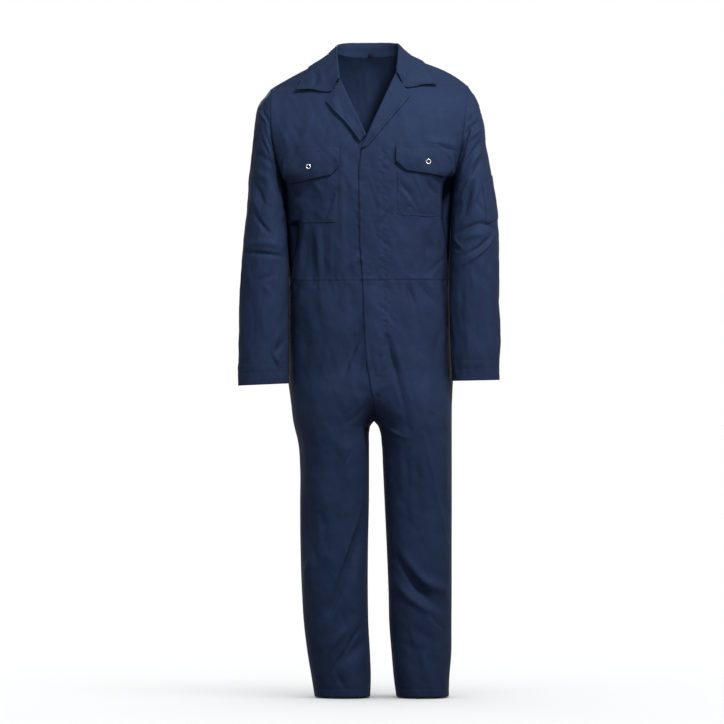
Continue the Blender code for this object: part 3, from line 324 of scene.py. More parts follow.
def waist_height(x):
    return WAIST_HEIGHT + WAIST_TILT * np.asarray(x, float)


def ridge_height(x):
    """The shoulder line, and its unseen continuation over the neck opening."""
    x = np.asarray(x, float)
    side = side_of(x)
    share = (np.abs(x) - NECK_HALF) / (np.abs(SHOULDER_END_X[side]) - NECK_HALF)
    drop = (SHOULDER_END_Z[side] - NECK_HEIGHT) * share
    bulge = SHOULDER_BULGE[side] * 6.75 * share**2 * (1 - share)
    arch = NECK_ARCH * (1 - (x / NECK_HALF) ** 2)
    return NECK_HEIGHT + np.where(share > 0, drop + bulge, arch)


def ridge_reach(z, side):
    """How far out the shoulder line has come down to this height."""
    out = np.linspace(NECK_HALF, abs(SHOULDER_END_X[side]), 60)
    return np.interp(-z, -ridge_height(out * TOWARDS[side]), out)


def armhole_point(side, share):
    """The armhole seam in the front view: share 0 at the shoulder, 1 under the arm. Also its half-depth."""
    under_z = SHOULDER_END_Z[side] + UNDERARM_SHARE * (WAIST_HEIGHT - SHOULDER_END_Z[side])
    share = np.clip(share, 0.0, 1.0)
    bulge = 4 * share * (1 - share)
    straight_x = SHOULDER_END_X[side] + (UNDERARM_X[side] - SHOULDER_END_X[side]) * share
    x = straight_x + ARMHOLE_BOW[side] * bulge
    z = SHOULDER_END_Z[side] + (under_z - SHOULDER_END_Z[side]) * share
    return x, z, ARMHOLE_DEPTH * np.sqrt(bulge)


def side_seam_x(z, side, lift=0.0):
    """The side seam's distance from the middle: from the underarm point it soon follows the body's outline."""
    under_x, under_z, _ = armhole_point(side, 1.0)
    step = abs(under_x) - np.abs(by_height(under_z, BODY, 1 + side)) - lift
    return np.abs(by_height(z, BODY, 1 + side)) + lift + step * np.clip(1 - (under_z - z) / 0.04, 0, 1) ** 2


def torso_limits(z, side):
    """The half-width of the torso at this height, and how far down the armhole this height is."""
    shoulder, under_z = SHOULDER_END_Z[side], armhole_point(side, 1.0)[1]
    share = (shoulder - z) / (shoulder - under_z)
    beside_armhole = np.abs(armhole_point(side, share)[0])
    below = side_seam_x(z, side)
    return np.where(share < 0, ridge_reach(z, side), np.where(share < 1, beside_armhole, below)), share


def torso_depth(x, z, face):
    """How far the torso's front or back is from its side seams. Its sides stay deep beside the armholes."""
    depths = []
    for side in (RIGHT, LEFT):
        reach, armhole_share = torso_limits(z, side)
        rise = np.clip((ridge_height(x) - z) / CHEST_ROUNDING[face], 0, 1)
        full = by_height(z, BODY, 3 + face) * np.sqrt(1 - (1 - rise) ** 2)
        share = np.clip(np.abs(x) / reach, 0, 1)
        section = (1 - share**SECTION_POWER) ** (1 / SECTION_POWER)
        upper = 2 * np.sqrt(np.clip(armhole_share * (1 - armhole_share), 0, 0.25))
        lower = np.cos(np.pi / 2 * np.clip((armhole_share - 0.5) / (ARMHOLE_FADE - 0.5), 0, 1))
        armhole = ARMHOLE_DEPTH * np.where(armhole_share < 0.5, upper, lower)
        armhole *= 1 - share**6 * ease((armhole_share - 0.9) / 0.1)
        depths.append(armhole + (full - armhole) * section)
    return np.where(side_of(x) == LEFT, depths[LEFT], depths[RIGHT])


def leg_limits(z, side, face):
    """The middle and half-width of one leg's section; above the crotch the two sections merge."""
    outer = by_height(z, BODY, 1 + side)
    middle = by_height(z, MIDDLE, 1)
    top = CROTCH_CURVE_TOP[face]
    split = np.clip((top - z) / (top - CROTCH_HEIGHT), 0, 1)
    split = 1.25 * split**2 / (split + 0.25)
    merged_half = np.abs(outer - middle) / (1 + split)
    merged_middle = middle + TOWARDS[side] * split * merged_half
    inner = by_height(z, INSIDE_LEGS, 1 + side)
    below = z < CROTCH_HEIGHT
    centre = np.where(below, (outer + inner) / 2, merged_middle)
    return centre, np.where(below, np.abs(outer - inner) / 2, merged_half)


def legs_middle(z):
    gap = (by_height(z, INSIDE_LEGS, 1) + by_height(z, INSIDE_LEGS, 2)) / 2
    return np.where(z < CROTCH_HEIGHT, gap, by_height(z, MIDDLE, 1))


def leg_depth(x, z, face):
    depths = []
    for side in (RIGHT, LEFT):
        centre, half = leg_limits(z, side, face)
        share = np.clip(np.abs(x - centre) / half, 0, 1)
        full = by_height(z, BODY, 3 + face)
        depths.append(full * (1 - share**SECTION_POWER) ** (1 / SECTION_POWER))
    return np.where(side_of(x, legs_middle(z)) == LEFT, depths[LEFT], depths[RIGHT])


def surface_y(x, z, face):
    depth = np.where(z > waist_height(x), torso_depth(x, z, face), leg_depth(x, z, face))
    return by_height(z, BODY, 5) + TOWARDS[face] * depth


def calm_at_edges(x, z):
    """1 inside a panel, falling to 0 at the side, armhole, shoulder and inside leg seams."""
    side = side_of(x, legs_middle(z))
    calm = np.ones(np.shape(x))
    for each in (RIGHT, LEFT):
        reach, _ = torso_limits(z, each)
        torso = ease((reach - np.abs(x)) / FADE_AT_ARMHOLE) * ease((ridge_height(x) - z) / FADE_AT_SHOULDER)
        centre, half = leg_limits(z, each, FRONT)
        leg = ease((half - np.abs(x - centre)) / FADE_AT_LEG_SEAM)
        whole = ease((np.abs(by_height(z, BODY, 1 + each)) - np.abs(x)) / FADE_AT_LEG_SEAM)
        leg = np.where(z > CROTCH_HEIGHT, whole, leg)
        calm = np.where(side == each, np.where(z > waist_height(x), torso, leg), calm)
    return calm


def plain_form(x, z, face):
    """The plain form of the body at places (x, z): the places, their points and the outward directions."""
    x, z = np.broadcast_arrays(np.asarray(x, float), np.asarray(z, float))
    slope_x = surface_y(x + SLOPE_STEP, z, face) - surface_y(x - SLOPE_STEP, z, face)
    slope_z = surface_y(x, z + SLOPE_STEP, face) - surface_y(x, z - SLOPE_STEP, face)
    slopes = (-slope_x / (2 * SLOPE_STEP), np.ones(x.shape), -slope_z / (2 * SLOPE_STEP))
    normals = unit(TOWARDS[face] * np.stack(slopes, axis=-1))
    return x, z, np.stack((x, surface_y(x, z, face), z), axis=-1), normals


def raised(points, normals, height, lift):
    """Points moved out level by the height of their folds, and then lifted square to the form."""
    points = points + normals * LEVEL * height[..., None]
    return points + normals * np.broadcast_to(lift, points.shape[:-1])[..., None]


def lap_drop(x, z):
    """How far the right front lies behind the left one, where they overlap."""
    edge = straight_by_height(z, LEFT_EDGE, 1)
    across = ease((x - edge + LAP_START) / (LAP_START - LAP_FULL))
    along = ease((LAP_TOP - z) / LAP_EASE) * ease((z - LAP_BOTTOM) / LAP_EASE)
    return LAP_DROP * across * along


def grid_normals(points):
    """Directions square to a grid, from its neighbouring points."""
    return unit(np.cross(np.gradient(points, axis=0), np.gradient(points, axis=1)))


def front_normals(points):
    """Directions square to a grid on the front, away from the body."""
    normals = grid_normals(points)
    return -normals if normals[:, -1, 1].mean() > 0 else normals


def edge_height(share):
    """The height of a row at the closing edge of a front."""
    return NECK_HEIGHT * (1 - share) + WAIST_HEIGHT * share


def column_spread(count):
    """Shares from 0 to 1 that close up towards 1, where the section turns away."""
    return np.sin(np.linspace(0, np.pi / 2, count + 1))


def torso_side(share, side):
    """Where the armhole and side seam is, a share of the way down: x, z and how far the armhole has gone."""
    z = SHOULDER_END_Z[side] + (waist_height(UNDERARM_X[side]) - SHOULDER_END_Z[side]) * share
    in_armhole = share < UNDERARM_SHARE
    armhole_x = armhole_point(side, share / UNDERARM_SHARE)[0]
    return np.where(in_armhole, armhole_x, TOWARDS[side] * side_seam_x(z, side)), z


def armhole_normals(side, face, share):
    """Seam directions that the torso and the sleeve share round the armhole."""
    angle = np.arccos(1 - 2 * np.clip(share / UNDERARM_SHARE, 0, 1))
    out = 0.85 * np.sin(angle) ** 2 + 0.25 * (1 + np.cos(angle)) / 2
    return unit(np.stack((TOWARDS[side] * out, TOWARDS[face] * np.sin(angle), np.cos(angle)), axis=-1))


def height_on_body(x, y):
    """The height at which the body passes under a place in plan, found by halving."""
    face = FRONT if y < 0 else BACK
    top, bottom = float(ridge_height(x)), -0.30
    for _ in range(40):
        middle = (top + bottom) / 2
        if float(torso_depth(np.float64(x), np.float64(middle), face)) < abs(y):
            top = middle
        else:
            bottom = middle
    return (top + bottom) / 2


def above_body(x, y, lift):
    """A point over the body at a place in plan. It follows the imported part's folds."""
    face = FRONT if y < 0 else BACK
    x, z, point, normal = plain_form(x, height_on_body(x, y), face)
    return raised(point, normal, relief(x, z, BODY_FOLDS[face]) * calm_at_edges(x, z), lift)


def collar_section(row):
    """One section from the neck seam up the stand, over the fold and down the fall."""
    seam_x, seam_y, fold_x, fold_y, fold_z = row[:5]
    seam = np.array((seam_x, seam_y, height_on_body(seam_x, seam_y) + STAND_GAP))
    fold = np.array((fold_x, fold_y, fold_z))
    fall, edge = above_body(*row[5:8]), above_body(*row[8:])
    leaf = above_body(*(row[5:8] + row[8:]) / 2)
    out = unit((fall - fold) * LEVEL)
    inside = fold - out * FOLD_INSIDE[0] - np.array((0, 0, FOLD_INSIDE[1]))
    outside = fold + out * FOLD_OUTSIDE[0] - np.array((0, 0, FOLD_OUTSIDE[1]))
    knots = np.array((seam, (seam + inside) / 2, inside, fold, outside, fall, leaf, edge))
    lengths = lengths_along(np.linalg.norm(np.diff(knots, axis=0), axis=1))
    spread = np.interp(np.linspace(0, len(knots) - 1, COLLAR_POINTS), np.arange(len(knots)), lengths)
    return spline_columns(spread, lengths, knots)


# ---- Finer forms, which only the dressed model has ----

# How finely each shell is divided.
ARMHOLE_ROWS = 84
CHEST_ROWS = 96
CHEST_COLUMNS = 92
BACK_COLUMNS = 58
BACK_NECK_COLUMNS = 44
SEAT_ROWS = 108
LEG_ROWS = 212
LEG_COLUMNS = {FRONT: 92, BACK: 62}
SLEEVE_RINGS = 210
COLLAR_COLUMNS, COLLAR_ROWS = 181, 64
LAPEL_ROWS, LAPEL_CURL_POINTS, LAPEL_POINTS = 66, 10, 40
SHELL_LIFT = 0.0007
TRIM_THICKNESS, COLLAR_THICKNESS = 0.0011, 0.0015
STITCH_GROOVE = 0.0018
WAVE_TABLE = 64
EDGE_BLEND, SEAM_BLEND = 0.030, 0.010
# Rows of a turned hem: how far in from the cloth, and how far up from the edge.
HEM_TURN = (
    ((0.0005, -0.0005), (0.0012, -0.0005), (0.0016, 0.0002))
    + ((0.0018, 0.0040), (0.0019, 0.0180), (0.0020, 0.0340))
)  # fmt: skip
# Columns of a turned closing edge: how far in from the edge, and how deep behind the cloth.
LAP_TURN = ((-0.0006, 0.0005), (-0.0006, 0.0011), (0.0000, 0.0015), (0.0060, 0.0016), (0.0200, 0.0016))
TURN_FADE = 0.030

# Smaller folds, tables as above.
FINE_FRONT_FOLDS = metres(
    # x, z, x, z, x, z, half-width, height
    (-808, -3185, -931, -3577, -1053, -3920, 64, -23), (-735, -3136, -760, -3528, -808, -3944, 49, -16),
    (-1911, -3136, -1691, -3332, -1445, -3087, 123, -28), (-1593, -4067, -1568, -4704, -1593, -5365, 110, -37),
    (-1274, -4067, -1225, -4704, -1200, -5365, 110, 28), (-1103, -4116, -1103, -4704, -1078, -5365, 54, -13),
    (-857, -4067, -833, -4655, -857, -5292, 69, -15), (-662, -3087, -612, -3822, -662, -4655, 98, 18),
    (-539, -4508, -662, -4949, -784, -5390, 88, 19), (-416, -4949, -514, -5170, -637, -5365, 54, -13),
    (-539, -4312, -392, -4067, -245, -3871, 49, -11), (-563, -4973, -392, -4802, -221, -4582, 59, -14),
    (-441, -3528, -367, -3724, -269, -3969, 59, -13), (-392, -3234, -343, -3430, -269, -3626, 59, 11),
    (-588, -2695, -490, -2940, -392, -3234, 73, 11), (-1396, -2842, -1274, -3087, -1127, -3283, 86, 15),
    (-1935, -1421, -1813, -1715, -1666, -2009, 123, -15), (-1372, -1274, -1470, -1617, -1519, -1960, 147, 18),
    (-931, -1519, -1029, -1813, -1078, -2107, 98, -13), (-563, -2254, -466, -2499, -392, -2793, 86, -13),
    (-2082, -1666, -2009, -1960, -1911, -2205, 98, 15), (686, -2719, 563, -3014, 441, -3357, 73, 23),
    (784, -3038, 1004, -3332, 1225, -3675, 88, -20), (711, -3111, 882, -3283, 1029, -3479, 64, 10),
    (1127, -2842, 1274, -3185, 1396, -3577, 69, 15), (1348, -2915, 1519, -3136, 1715, -3332, 113, -28),
    (711, -3626, 833, -3797, 1152, -3846, 49, 14), (882, -3748, 1004, -3601, 1127, -3748, 54, -15),
    (686, -3528, 490, -3846, 245, -4116, 78, -21), (514, -3528, 367, -3773, 147, -3969, 59, 15),
    (73, -3185, 171, -3528, 245, -3822, 59, -13), (-49, -2695, 49, -2964, 147, -3234, 73, 13),
    (1421, -3896, 1543, -4287, 1691, -4655, 88, 19), (1249, -3944, 1372, -4435, 1445, -4949, 88, -19),
    (1911, -4802, 1691, -5022, 1519, -5219, 88, -25), (1029, -4924, 1053, -5145, 1078, -5365, 69, -16),
    (1249, -4826, 1274, -5096, 1298, -5341, 69, 15), (416, -4214, 392, -4557, 318, -4900, 69, -15),
    (221, -4704, 196, -4973, 269, -5243, 64, 13), (1691, -2107, 1911, -2180, 2156, -2254, 59, -25),
    (1813, -2205, 1984, -2377, 2058, -2597, 73, 20), (98, -3969, 196, -4214, 147, -4508, 69, -13),
    (539, -4410, 612, -4655, 563, -4949, 73, 14), (0, -4949, 73, -5145, 49, -5365, 59, -11),
    (735, -1103, 882, -1421, 980, -1764, 123, 15), (1396, -1274, 1274, -1617, 1225, -1960, 135, -15),
    (1764, -1078, 1715, -1470, 1666, -1862, 123, 16), (416, -1715, 367, -2009, 392, -2352, 98, -13),
    (-1666, -3871, -1739, -4410, -1886, -5047, 103, -69), (-1519, -3822, -1593, -4410, -1691, -5096, 88, 28),
    (1984, -2744, 1960, -3553, 1935, -4557, 103, -69), (1788, -2842, 1788, -3577, 1739, -4410, 83, 23),
    (-1739, -2107, -1837, -2401, -1984, -2695, 83, -23), (-123, -6199, -245, -6419, -367, -6639, 59, -20),
    (-123, -6566, -343, -7129, -588, -7717, 73, -40), (-221, -6909, -367, -7350, -514, -7791, 83, 23),
    (-98, -6909, -171, -7301, -221, -7693, 49, -23), (-24, -7252, -98, -7546, -171, -7815, 54, 23),
    (466, -6713, 514, -7203, 662, -7693, 73, -30), (367, -6762, 343, -7105, 392, -7497, 59, 18),
    (490, -6199, 612, -6370, 760, -6566, 69, -20), (392, -5880, 490, -5929, 588, -5856, 59, 18),
    (318, -6419, 416, -6370, 514, -6468, 54, 16), (931, -5513, 1053, -5733, 1176, -6002, 88, -28),
    (1274, -5513, 1445, -5733, 1641, -6002, 69, -28), (1396, -5439, 1568, -5586, 1715, -5782, 98, 20),
    (1053, -5856, 1249, -6517, 1470, -7178, 147, -23), (-171, -8012, -294, -8403, -441, -8795, 123, -30),
    (221, -8134, 245, -8306, 294, -8477, 54, -15), (24, -7154, 98, -7448, 123, -7742, 59, -18),
    (196, -7252, 221, -7497, 245, -7717, 49, 14), (-1519, -5488, -1641, -5806, -1788, -6174, 98, 23),
    (-1691, -5488, -1788, -5733, -1911, -5978, 73, -25), (-1176, -5488, -1127, -5880, -1152, -6321, 98, 15),
    (-686, -5635, -784, -6027, -931, -6419, 98, -15), (1543, -8624, 1593, -8722, 1568, -8844, 59, -20),
    (-1666, -6615, -1519, -7105, -1568, -7644, 147, -25), (-931, -6860, -1029, -7252, -1078, -7742, 123, 18),
    (1764, -6615, 1666, -7105, 1715, -7644, 123, -20), (882, -6615, 931, -7007, 882, -7399, 110, 15),
    (-1666, -9114, -1519, -9604, -1568, -10290, 147, 20), (-931, -9310, -784, -9849, -833, -10535, 171, -25),
    (-441, -9212, -539, -9800, -441, -10388, 123, 23), (735, -9310, 833, -9947, 784, -10633, 147, 23),
    (1274, -9555, 1176, -10241, 1274, -10927, 171, -28), (1764, -9310, 1911, -10045, 1862, -10780, 123, 20),
    (-1225, -11025, -1078, -11515, -1176, -12152, 147, -25), (-1519, -11760, -1372, -12397, -1421, -13034, 123, 23),
    (-686, -13475, -539, -13867, -588, -14357, 123, -23), (-1225, -14210, -1078, -14602, -1127, -15092, 123, 23),
    (-784, -14896, -686, -15190, -539, -15435, 98, -23), (882, -13916, 1029, -14259, 980, -14700, 123, -23),
    (1274, -14455, 1372, -14798, 1323, -15288, 123, 23), (1666, -14210, 1568, -14700, 1617, -15288, 123, -25),
    (833, -10780, 980, -11270, 882, -11662, 123, -23), (-1666, -13230, -1519, -13524, -1372, -13867, 98, -23),
    (-245, -11907, -637, -12912, -1004, -13598, 69, -45), (-171, -10976, -514, -12054, -931, -13181, 78, 33),
    (-1470, -12299, -1556, -12813, -1543, -13230, 59, 23), (-931, -11000, -1274, -11883, -1470, -12446, 88, 23),
    (-196, -13891, -514, -14406, -882, -14994, 69, -37), (-392, -13671, -686, -14112, -1029, -14602, 98, 23),
    (466, -6811, 711, -7791, 1004, -9016, 78, -42), (612, -6860, 882, -7791, 1152, -8820, 98, 25),
    (98, -7791, 123, -8256, 147, -8698, 196, 100), (-49, -8428, -294, -8722, -563, -8918, 73, -25),
    (-441, -9555, -563, -9873, -735, -10192, 64, -23), (711, -11956, 882, -12544, 1274, -13034, 64, -25),
    (-392, -12250, -735, -13181, -1127, -14210, 98, 20), (882, -9677, 980, -10290, 882, -10976, 98, -23),
    (-588, -10780, -931, -11760, -1225, -12740, 123, -23), (1470, -13524, 1666, -13769, 1911, -13965, 73, -20),
)
FINE_BACK_FOLDS = metres(
    (-400, -20, -300, -700, -180, -1600, 120, 22), (-60, -40, -40, -600, 40, -1400, 100, -20),
    (300, -60, 260, -800, 160, -1700, 120, 24), (520, -200, 440, -900, 300, -1800, 100, -18),
    (-1500, -1200, -1600, -1800, -1680, -2600, 200, -30), (1550, -1150, 1680, -1800, 1720, -2600, 200, -30),
    (-600, -1200, -700, -2000, -600, -2900, 240, 26), (700, -1200, 760, -2000, 660, -3000, 240, 26),
    (-1500, -4000, -1460, -4600, -1500, -5300, 160, 30), (1500, -4100, 1460, -4700, 1500, -5350, 160, 30),
    (-200, -5600, -240, -6000, -200, -6600, 140, 26), (600, -5550, 660, -6100, 800, -6800, 160, 26),
    (-1100, -5600, -1000, -6200, -920, -6900, 160, -26), (-600, -7000, -750, -7800, -1000, -8500, 240, 30),
    (700, -7000, 850, -7800, 1100, -8500, 240, 30), (-1200, -9500, -1240, -10200, -1200, -10900, 200, -34),
    (1200, -9500, 1260, -10300, 1240, -11000, 220, -34), (-600, -13000, -700, -13300, -1100, -13600, 180, 34),
    (1000, -13000, 1200, -13300, 1600, -13500, 180, 34), (-700, -14500, -620, -15000, -600, -15500, 180, 30),
    (1300, -14500, 1340, -15000, 1300, -15500, 180, 30), (-1950, -3000, -1600, -3500, -1200, -3850, 100, 34),
    (-1980, -3350, -1650, -3950, -1350, -4400, 90, -30), (2000, -3050, 1700, -3450, 1300, -3900, 110, 34),
    (2030, -3450, 1780, -4050, 1500, -4550, 90, -30), (-1700, -4550, -1200, -4800, -700, -4900, 100, 30),
    (100, -4550, 600, -4800, 1200, -4750, 110, 30), (-1000, -5050, -400, -5220, 200, -5150, 90, -26),
    (900, -5080, 1400, -5200, 1850, -5050, 80, 26), (-1300, -3300, -1260, -4000, -1360, -4550, 100, 28),
    (880, -3300, 820, -4000, 900, -4600, 100, -28), (-200, -7600, -700, -8000, -1300, -8150, 120, 36),
    (300, -7650, 850, -8060, 1500, -8200, 130, 36), (-150, -8450, -600, -8850, -950, -9450, 100, -34),
    (350, -8500, 800, -8920, 1150, -9550, 100, -34), (-1150, -10900, -700, -11250, -250, -11300, 90, 36),
    (-1200, -12150, -750, -12250, -300, -12050, 90, 34), (1750, -10950, 1300, -11400, 750, -11480, 100, 36),
    (1800, -12250, 1300, -12360, 800, -12150, 80, 34), (-1100, -14400, -750, -14700, -400, -14750, 100, 30),
    (1750, -14450, 1350, -14780, 950, -14800, 110, 30),
)
# Folds of both sleeves, in front and behind.
SLEEVE_FOLDS = (
    metres(
        (-2656, -1249, -2548, -1421, -2416, -1641, 39, 40), (-2597, -1225, -2475, -1421, -2377, -1617, 44, -40),
        (-2695, -2205, -2499, -2450, -2254, -2572, 113, -46), (-2597, -1935, -2499, -2180, -2401, -2425, 78, -32),
        (-2744, -2646, -2597, -2842, -2401, -2940, 123, 32), (-2768, -2989, -2646, -3307, -2499, -3601, 88, -41),
        (-2891, -3087, -2793, -3430, -2646, -3724, 78, 40), (-2229, -3087, -2180, -3283, -2132, -3479, 73, -36),
        (-2793, -3748, -2597, -4042, -2401, -4263, 83, -58), (-2940, -4557, -2548, -4483, -2132, -4582, 123, 46),
        (-2964, -4728, -2548, -4753, -2082, -4826, 69, -79), (-2744, -5390, -2499, -5341, -2229, -5219, 78, -29),
        (-2597, -5537, -2450, -5635, -2352, -5782, 83, 25), (-2229, -6688, -2278, -6909, -2352, -7129, 73, 47),
        (-2082, -6860, -2156, -7031, -2229, -7129, 78, -54), (-2303, -7154, -2229, -7350, -2132, -7521, 64, 40),
        (-2352, -7252, -2303, -7399, -2254, -7595, 64, -29), (-2891, -5880, -2793, -6370, -2842, -6982, 110, -24),
        (-2499, -5880, -2572, -6370, -2499, -6811, 110, 22), (-2989, -4998, -2891, -5390, -2940, -5831, 98, 22),
        (-2303, -4949, -2352, -5390, -2303, -5880, 98, -19), (2377, -1715, 2450, -1494, 2671, -1274, 54, -43),
        (2352, -1886, 2524, -1666, 2719, -1494, 78, -61), (2352, -2132, 2548, -1862, 2744, -1715, 73, 47),
        (2327, -2671, 2524, -2327, 2744, -1984, 69, -50), (2377, -2842, 2597, -2475, 2793, -2205, 64, 43),
        (2524, -2891, 2646, -2671, 2793, -2425, 59, -40), (2254, -3503, 2377, -3185, 2524, -2867, 59, 50),
        (2352, -3822, 2450, -3405, 2621, -2940, 69, -72), (2499, -3773, 2597, -3405, 2719, -3087, 78, 43),
        (2205, -4263, 2524, -4092, 2793, -4018, 88, -62), (2695, -4018, 2891, -4042, 3087, -4140, 83, -61),
        (2303, -4435, 2597, -4287, 2940, -4312, 123, 43), (2009, -4361, 2107, -4532, 2254, -4679, 44, -61),
        (2082, -4312, 2205, -4483, 2327, -4606, 49, 43), (3038, -4263, 2744, -4582, 2229, -4826, 78, -54),
        (3111, -4214, 2818, -4655, 2327, -5022, 54, 61), (2499, -5145, 2597, -5635, 2548, -6174, 123, 22),
        (2940, -4949, 2891, -5488, 2964, -6125, 110, -22), (2229, -5390, 2303, -5880, 2229, -6419, 110, -24),
        (2695, -6125, 2646, -6615, 2719, -7105, 123, -22), (2401, -6492, 2450, -6860, 2377, -7252, 110, 22),
        (2989, -6370, 2940, -6811, 3014, -7252, 98, 19), (2646, -3430, 2744, -3626, 2891, -3773, 73, -29),
        (2548, -1127, 2646, -1372, 2719, -1666, 73, 29),
    ),
    metres(
        (2989, -2401, 2768, -2989, 2450, -3503, 196, 45), (3087, -5194, 2818, -5586, 2475, -5806, 171, -42),
        (3062, -6199, 2768, -6492, 2401, -6811, 171, 37), (-2891, -2401, -2646, -2989, -2352, -3503, 196, 45),
        (-3038, -5292, -2695, -5684, -2352, -5880, 171, -42), (-2989, -6394, -2671, -6591, -2303, -6885, 171, 37),
        (2891, -3503, 2621, -4018, 2278, -4189, 171, -55), (3038, -4508, 2621, -4802, 2229, -5194, 171, 45),
        (-2818, -3503, -2524, -4092, -2229, -4312, 171, -55), (-2989, -4606, -2572, -4998, -2156, -5292, 171, 45),
        (2695, -1470, 2548, -1911, 2401, -2254, 147, -33), (-2695, -1470, -2548, -1911, -2401, -2254, 147, -33),
        (2842, -6982, 2646, -7154, 2401, -7301, 123, -28), (-2842, -6982, -2597, -7154, -2352, -7350, 123, -28),
    ),
)
BODY_FOLDS, FINE_FOLDS = (FRONT_FOLDS, BACK_FOLDS), (FINE_FRONT_FOLDS, FINE_BACK_FOLDS)

# Soft unevenness of the cloth: its size across and down, its height, and the seed of its table.
BODY_WAVES = ((0.055, 0.110, 0.0026, 3), (0.026, 0.048, 0.0014, 8), (0.013, 0.020, 0.00045, 21))
SLEEVE_WAVES = ((0.050, 0.080, 0.0024, 5), (0.024, 0.036, 0.0013, 13), (0.012, 0.018, 0.00042, 34))


def fold_curve(x0, z0, x1, z1, x2, z2):
    """Places along a fold that passes three places, with the strength of the fold at each."""
    share = np.linspace(0, 1, FOLD_PLACES)
    bend_x, bend_z = 2 * x1 - (x0 + x2) / 2, 2 * z1 - (z0 + z2) / 2
    x = (1 - share) ** 2 * x0 + 2 * share * (1 - share) * bend_x + share**2 * x2
    z = (1 - share) ** 2 * z0 + 2 * share * (1 - share) * bend_z + share**2 * z2
    return x, z, np.sin(np.pi * (0.06 + 0.88 * share))


def relief(x, z, folds):
    """The height of all the folds at a place: each has a crest or trough and a small swell beside it."""
    x, z = np.broadcast_arrays(np.asarray(x, float), np.asarray(z, float))
    height = np.zeros(x.shape)
    for fold in folds:
        half_width, rise = fold[6:8]
        on_x, on_z, strengths = fold_curve(*fold[:6])
        reach = FOLD_REACH * half_width
        near = (x > on_x.min() - reach) & (x < on_x.max() + reach)
        near &= (z > on_z.min() - reach) & (z < on_z.max() + reach)
        px, pz = x[near], z[near]
        best, strength = np.full(px.shape, np.inf), np.zeros(px.shape)
        for index in range(FOLD_PLACES - 1):
            from_x, from_z = px - on_x[index], pz - on_z[index]
            run_x, run_z = on_x[index + 1] - on_x[index], on_z[index + 1] - on_z[index]
            share = np.clip((from_x * run_x + from_z * run_z) / (run_x**2 + run_z**2), 0, 1)
            away = np.hypot(from_x - share * run_x, from_z - share * run_z)
            here = strengths[index] + share * (strengths[index + 1] - strengths[index])
            strength = np.where(away < best, here, strength)
            best = np.minimum(best, away)
        ratio = best / half_width
        height[near] += rise * strength * np.exp(-FOLD_SHARPNESS * ratio**2) * (1 - FOLD_SWELL * ratio**2)
    return height


def waves(across, down, seed):
    """Smooth random heights, about -1 to 1, from a table of random slopes."""
    angles = np.random.default_rng(seed).uniform(0, 2 * np.pi, (WAVE_TABLE, WAVE_TABLE))
    column, row = np.floor(across).astype(int), np.floor(down).astype(int)
    total = 0.0
    for right in (0, 1):
        for below in (0, 1):
            angle = angles[(column + right) % WAVE_TABLE, (row + below) % WAVE_TABLE]
            away_x, away_z = across - column - right, down - row - below
            weight = ease(1 - np.abs(away_x)) * ease(1 - np.abs(away_z))
            total = total + weight * (np.cos(angle) * away_x + np.sin(angle) * away_z)
    return 1.6 * total


def uneven(across, down, table):
    """The soft unevenness of a table at places in metres. Its lattice is turned, so that it follows no seam."""
    height = 0.0
    for size_x, size_z, rise, seed in table:
        turned_x, turned_z = across + 0.32 * down, down - 0.32 * across
        height = height + rise * waves(turned_x / size_x, turned_z / size_z, seed)
    return height


def sewn(away, gather, rise, reach, groove, width=STITCH_GROOVE):
    """A line of stitches at some distance: it gathers the cloth softly beside it and sinks into a fine groove."""
    return rise * gather * np.exp(-((away / reach) ** 2)) - groove * np.exp(-((away / width) ** 2))


def near_line(x, z, line):
    """Each place's distance from a line of points (x, z), which side of it it is on, and how far along."""
    line = np.asarray(line, float)
    best = np.full(np.shape(x), np.inf)
    side, along = np.zeros(np.shape(x)), np.zeros(np.shape(x))
    start = 0.0
    for (ax, az), (bx, bz) in zip(line, line[1:]):
        length = np.hypot(bx - ax, bz - az)
        share = np.clip(((x - ax) * (bx - ax) + (z - az) * (bz - az)) / length**2, 0, 1)
        away_x, away_z = x - ax - share * (bx - ax), z - az - share * (bz - az)
        away = np.hypot(away_x, away_z)
        nearer = away < best
        side = np.where(nearer, np.sign((bx - ax) * away_z - (bz - az) * away_x), side)
        along = np.where(nearer, start + share * length, along)
        best = np.minimum(best, away)
        start += length
    return best, side, along


def past_end(x, z, before, end, beyond):
    """How far a place is past a line's end, 0 to 1."""
    out = (end - before) / np.hypot(*(end - before))
    past = (x - end[0]) * out[0] + (z - end[1]) * out[1]
    return np.where(beyond, ease(past / 0.006), 0.0)


def seam_relief(
    x, z, line, seed, valley=0.0007, half=0.0024, strip=0.0005, strip_side=1, strip_width=0.009,
    pucker=0.0005, pucker_length=0.012, reach=0.016, reach_other=0.010, slant=0.0,
):  # fmt: skip
    """A sewn line: a thin valley, a raised strip of doubled cloth on one side of it, and puckers across it."""
    away, side, along = near_line(x, z, line)
    within = 1 - past_end(x, z, line[-2], line[-1], along >= along.max() - 1e-9)
    within = within * (1 - past_end(x, z, line[1], line[0], along <= 1e-9))
    beside = away * side * strip_side
    strip_here = ease((beside + 0.001) / 0.002) * ease((strip_width - beside) / 0.003)
    height = strip * strip_here * within - valley * np.exp(-((away / half) ** 2))
    slanted = along + slant * beside
    gather = waves(slanted / pucker_length + 7.3, beside / 0.026 + 3.1, seed)
    gather += 0.5 * waves((slanted + along) / (pucker_length * 0.9) + 1.7, beside / 0.018, seed + 1)
    fade = np.exp(-((away / np.where(beside > 0, reach, reach_other)) ** 2)) * ease(away / 0.0015 + 0.3)
    return height + pucker * gather * fade * within


def line_of(x, z):
    return np.stack(np.broadcast_arrays(x, z), axis=-1)


def edge_line(edge_table, top, bottom, beside):
    """Places (x, z) beside a closing edge."""
    z = np.linspace(top, bottom, 60)
    return line_of(straight_by_height(z, edge_table, 1) + beside, z)


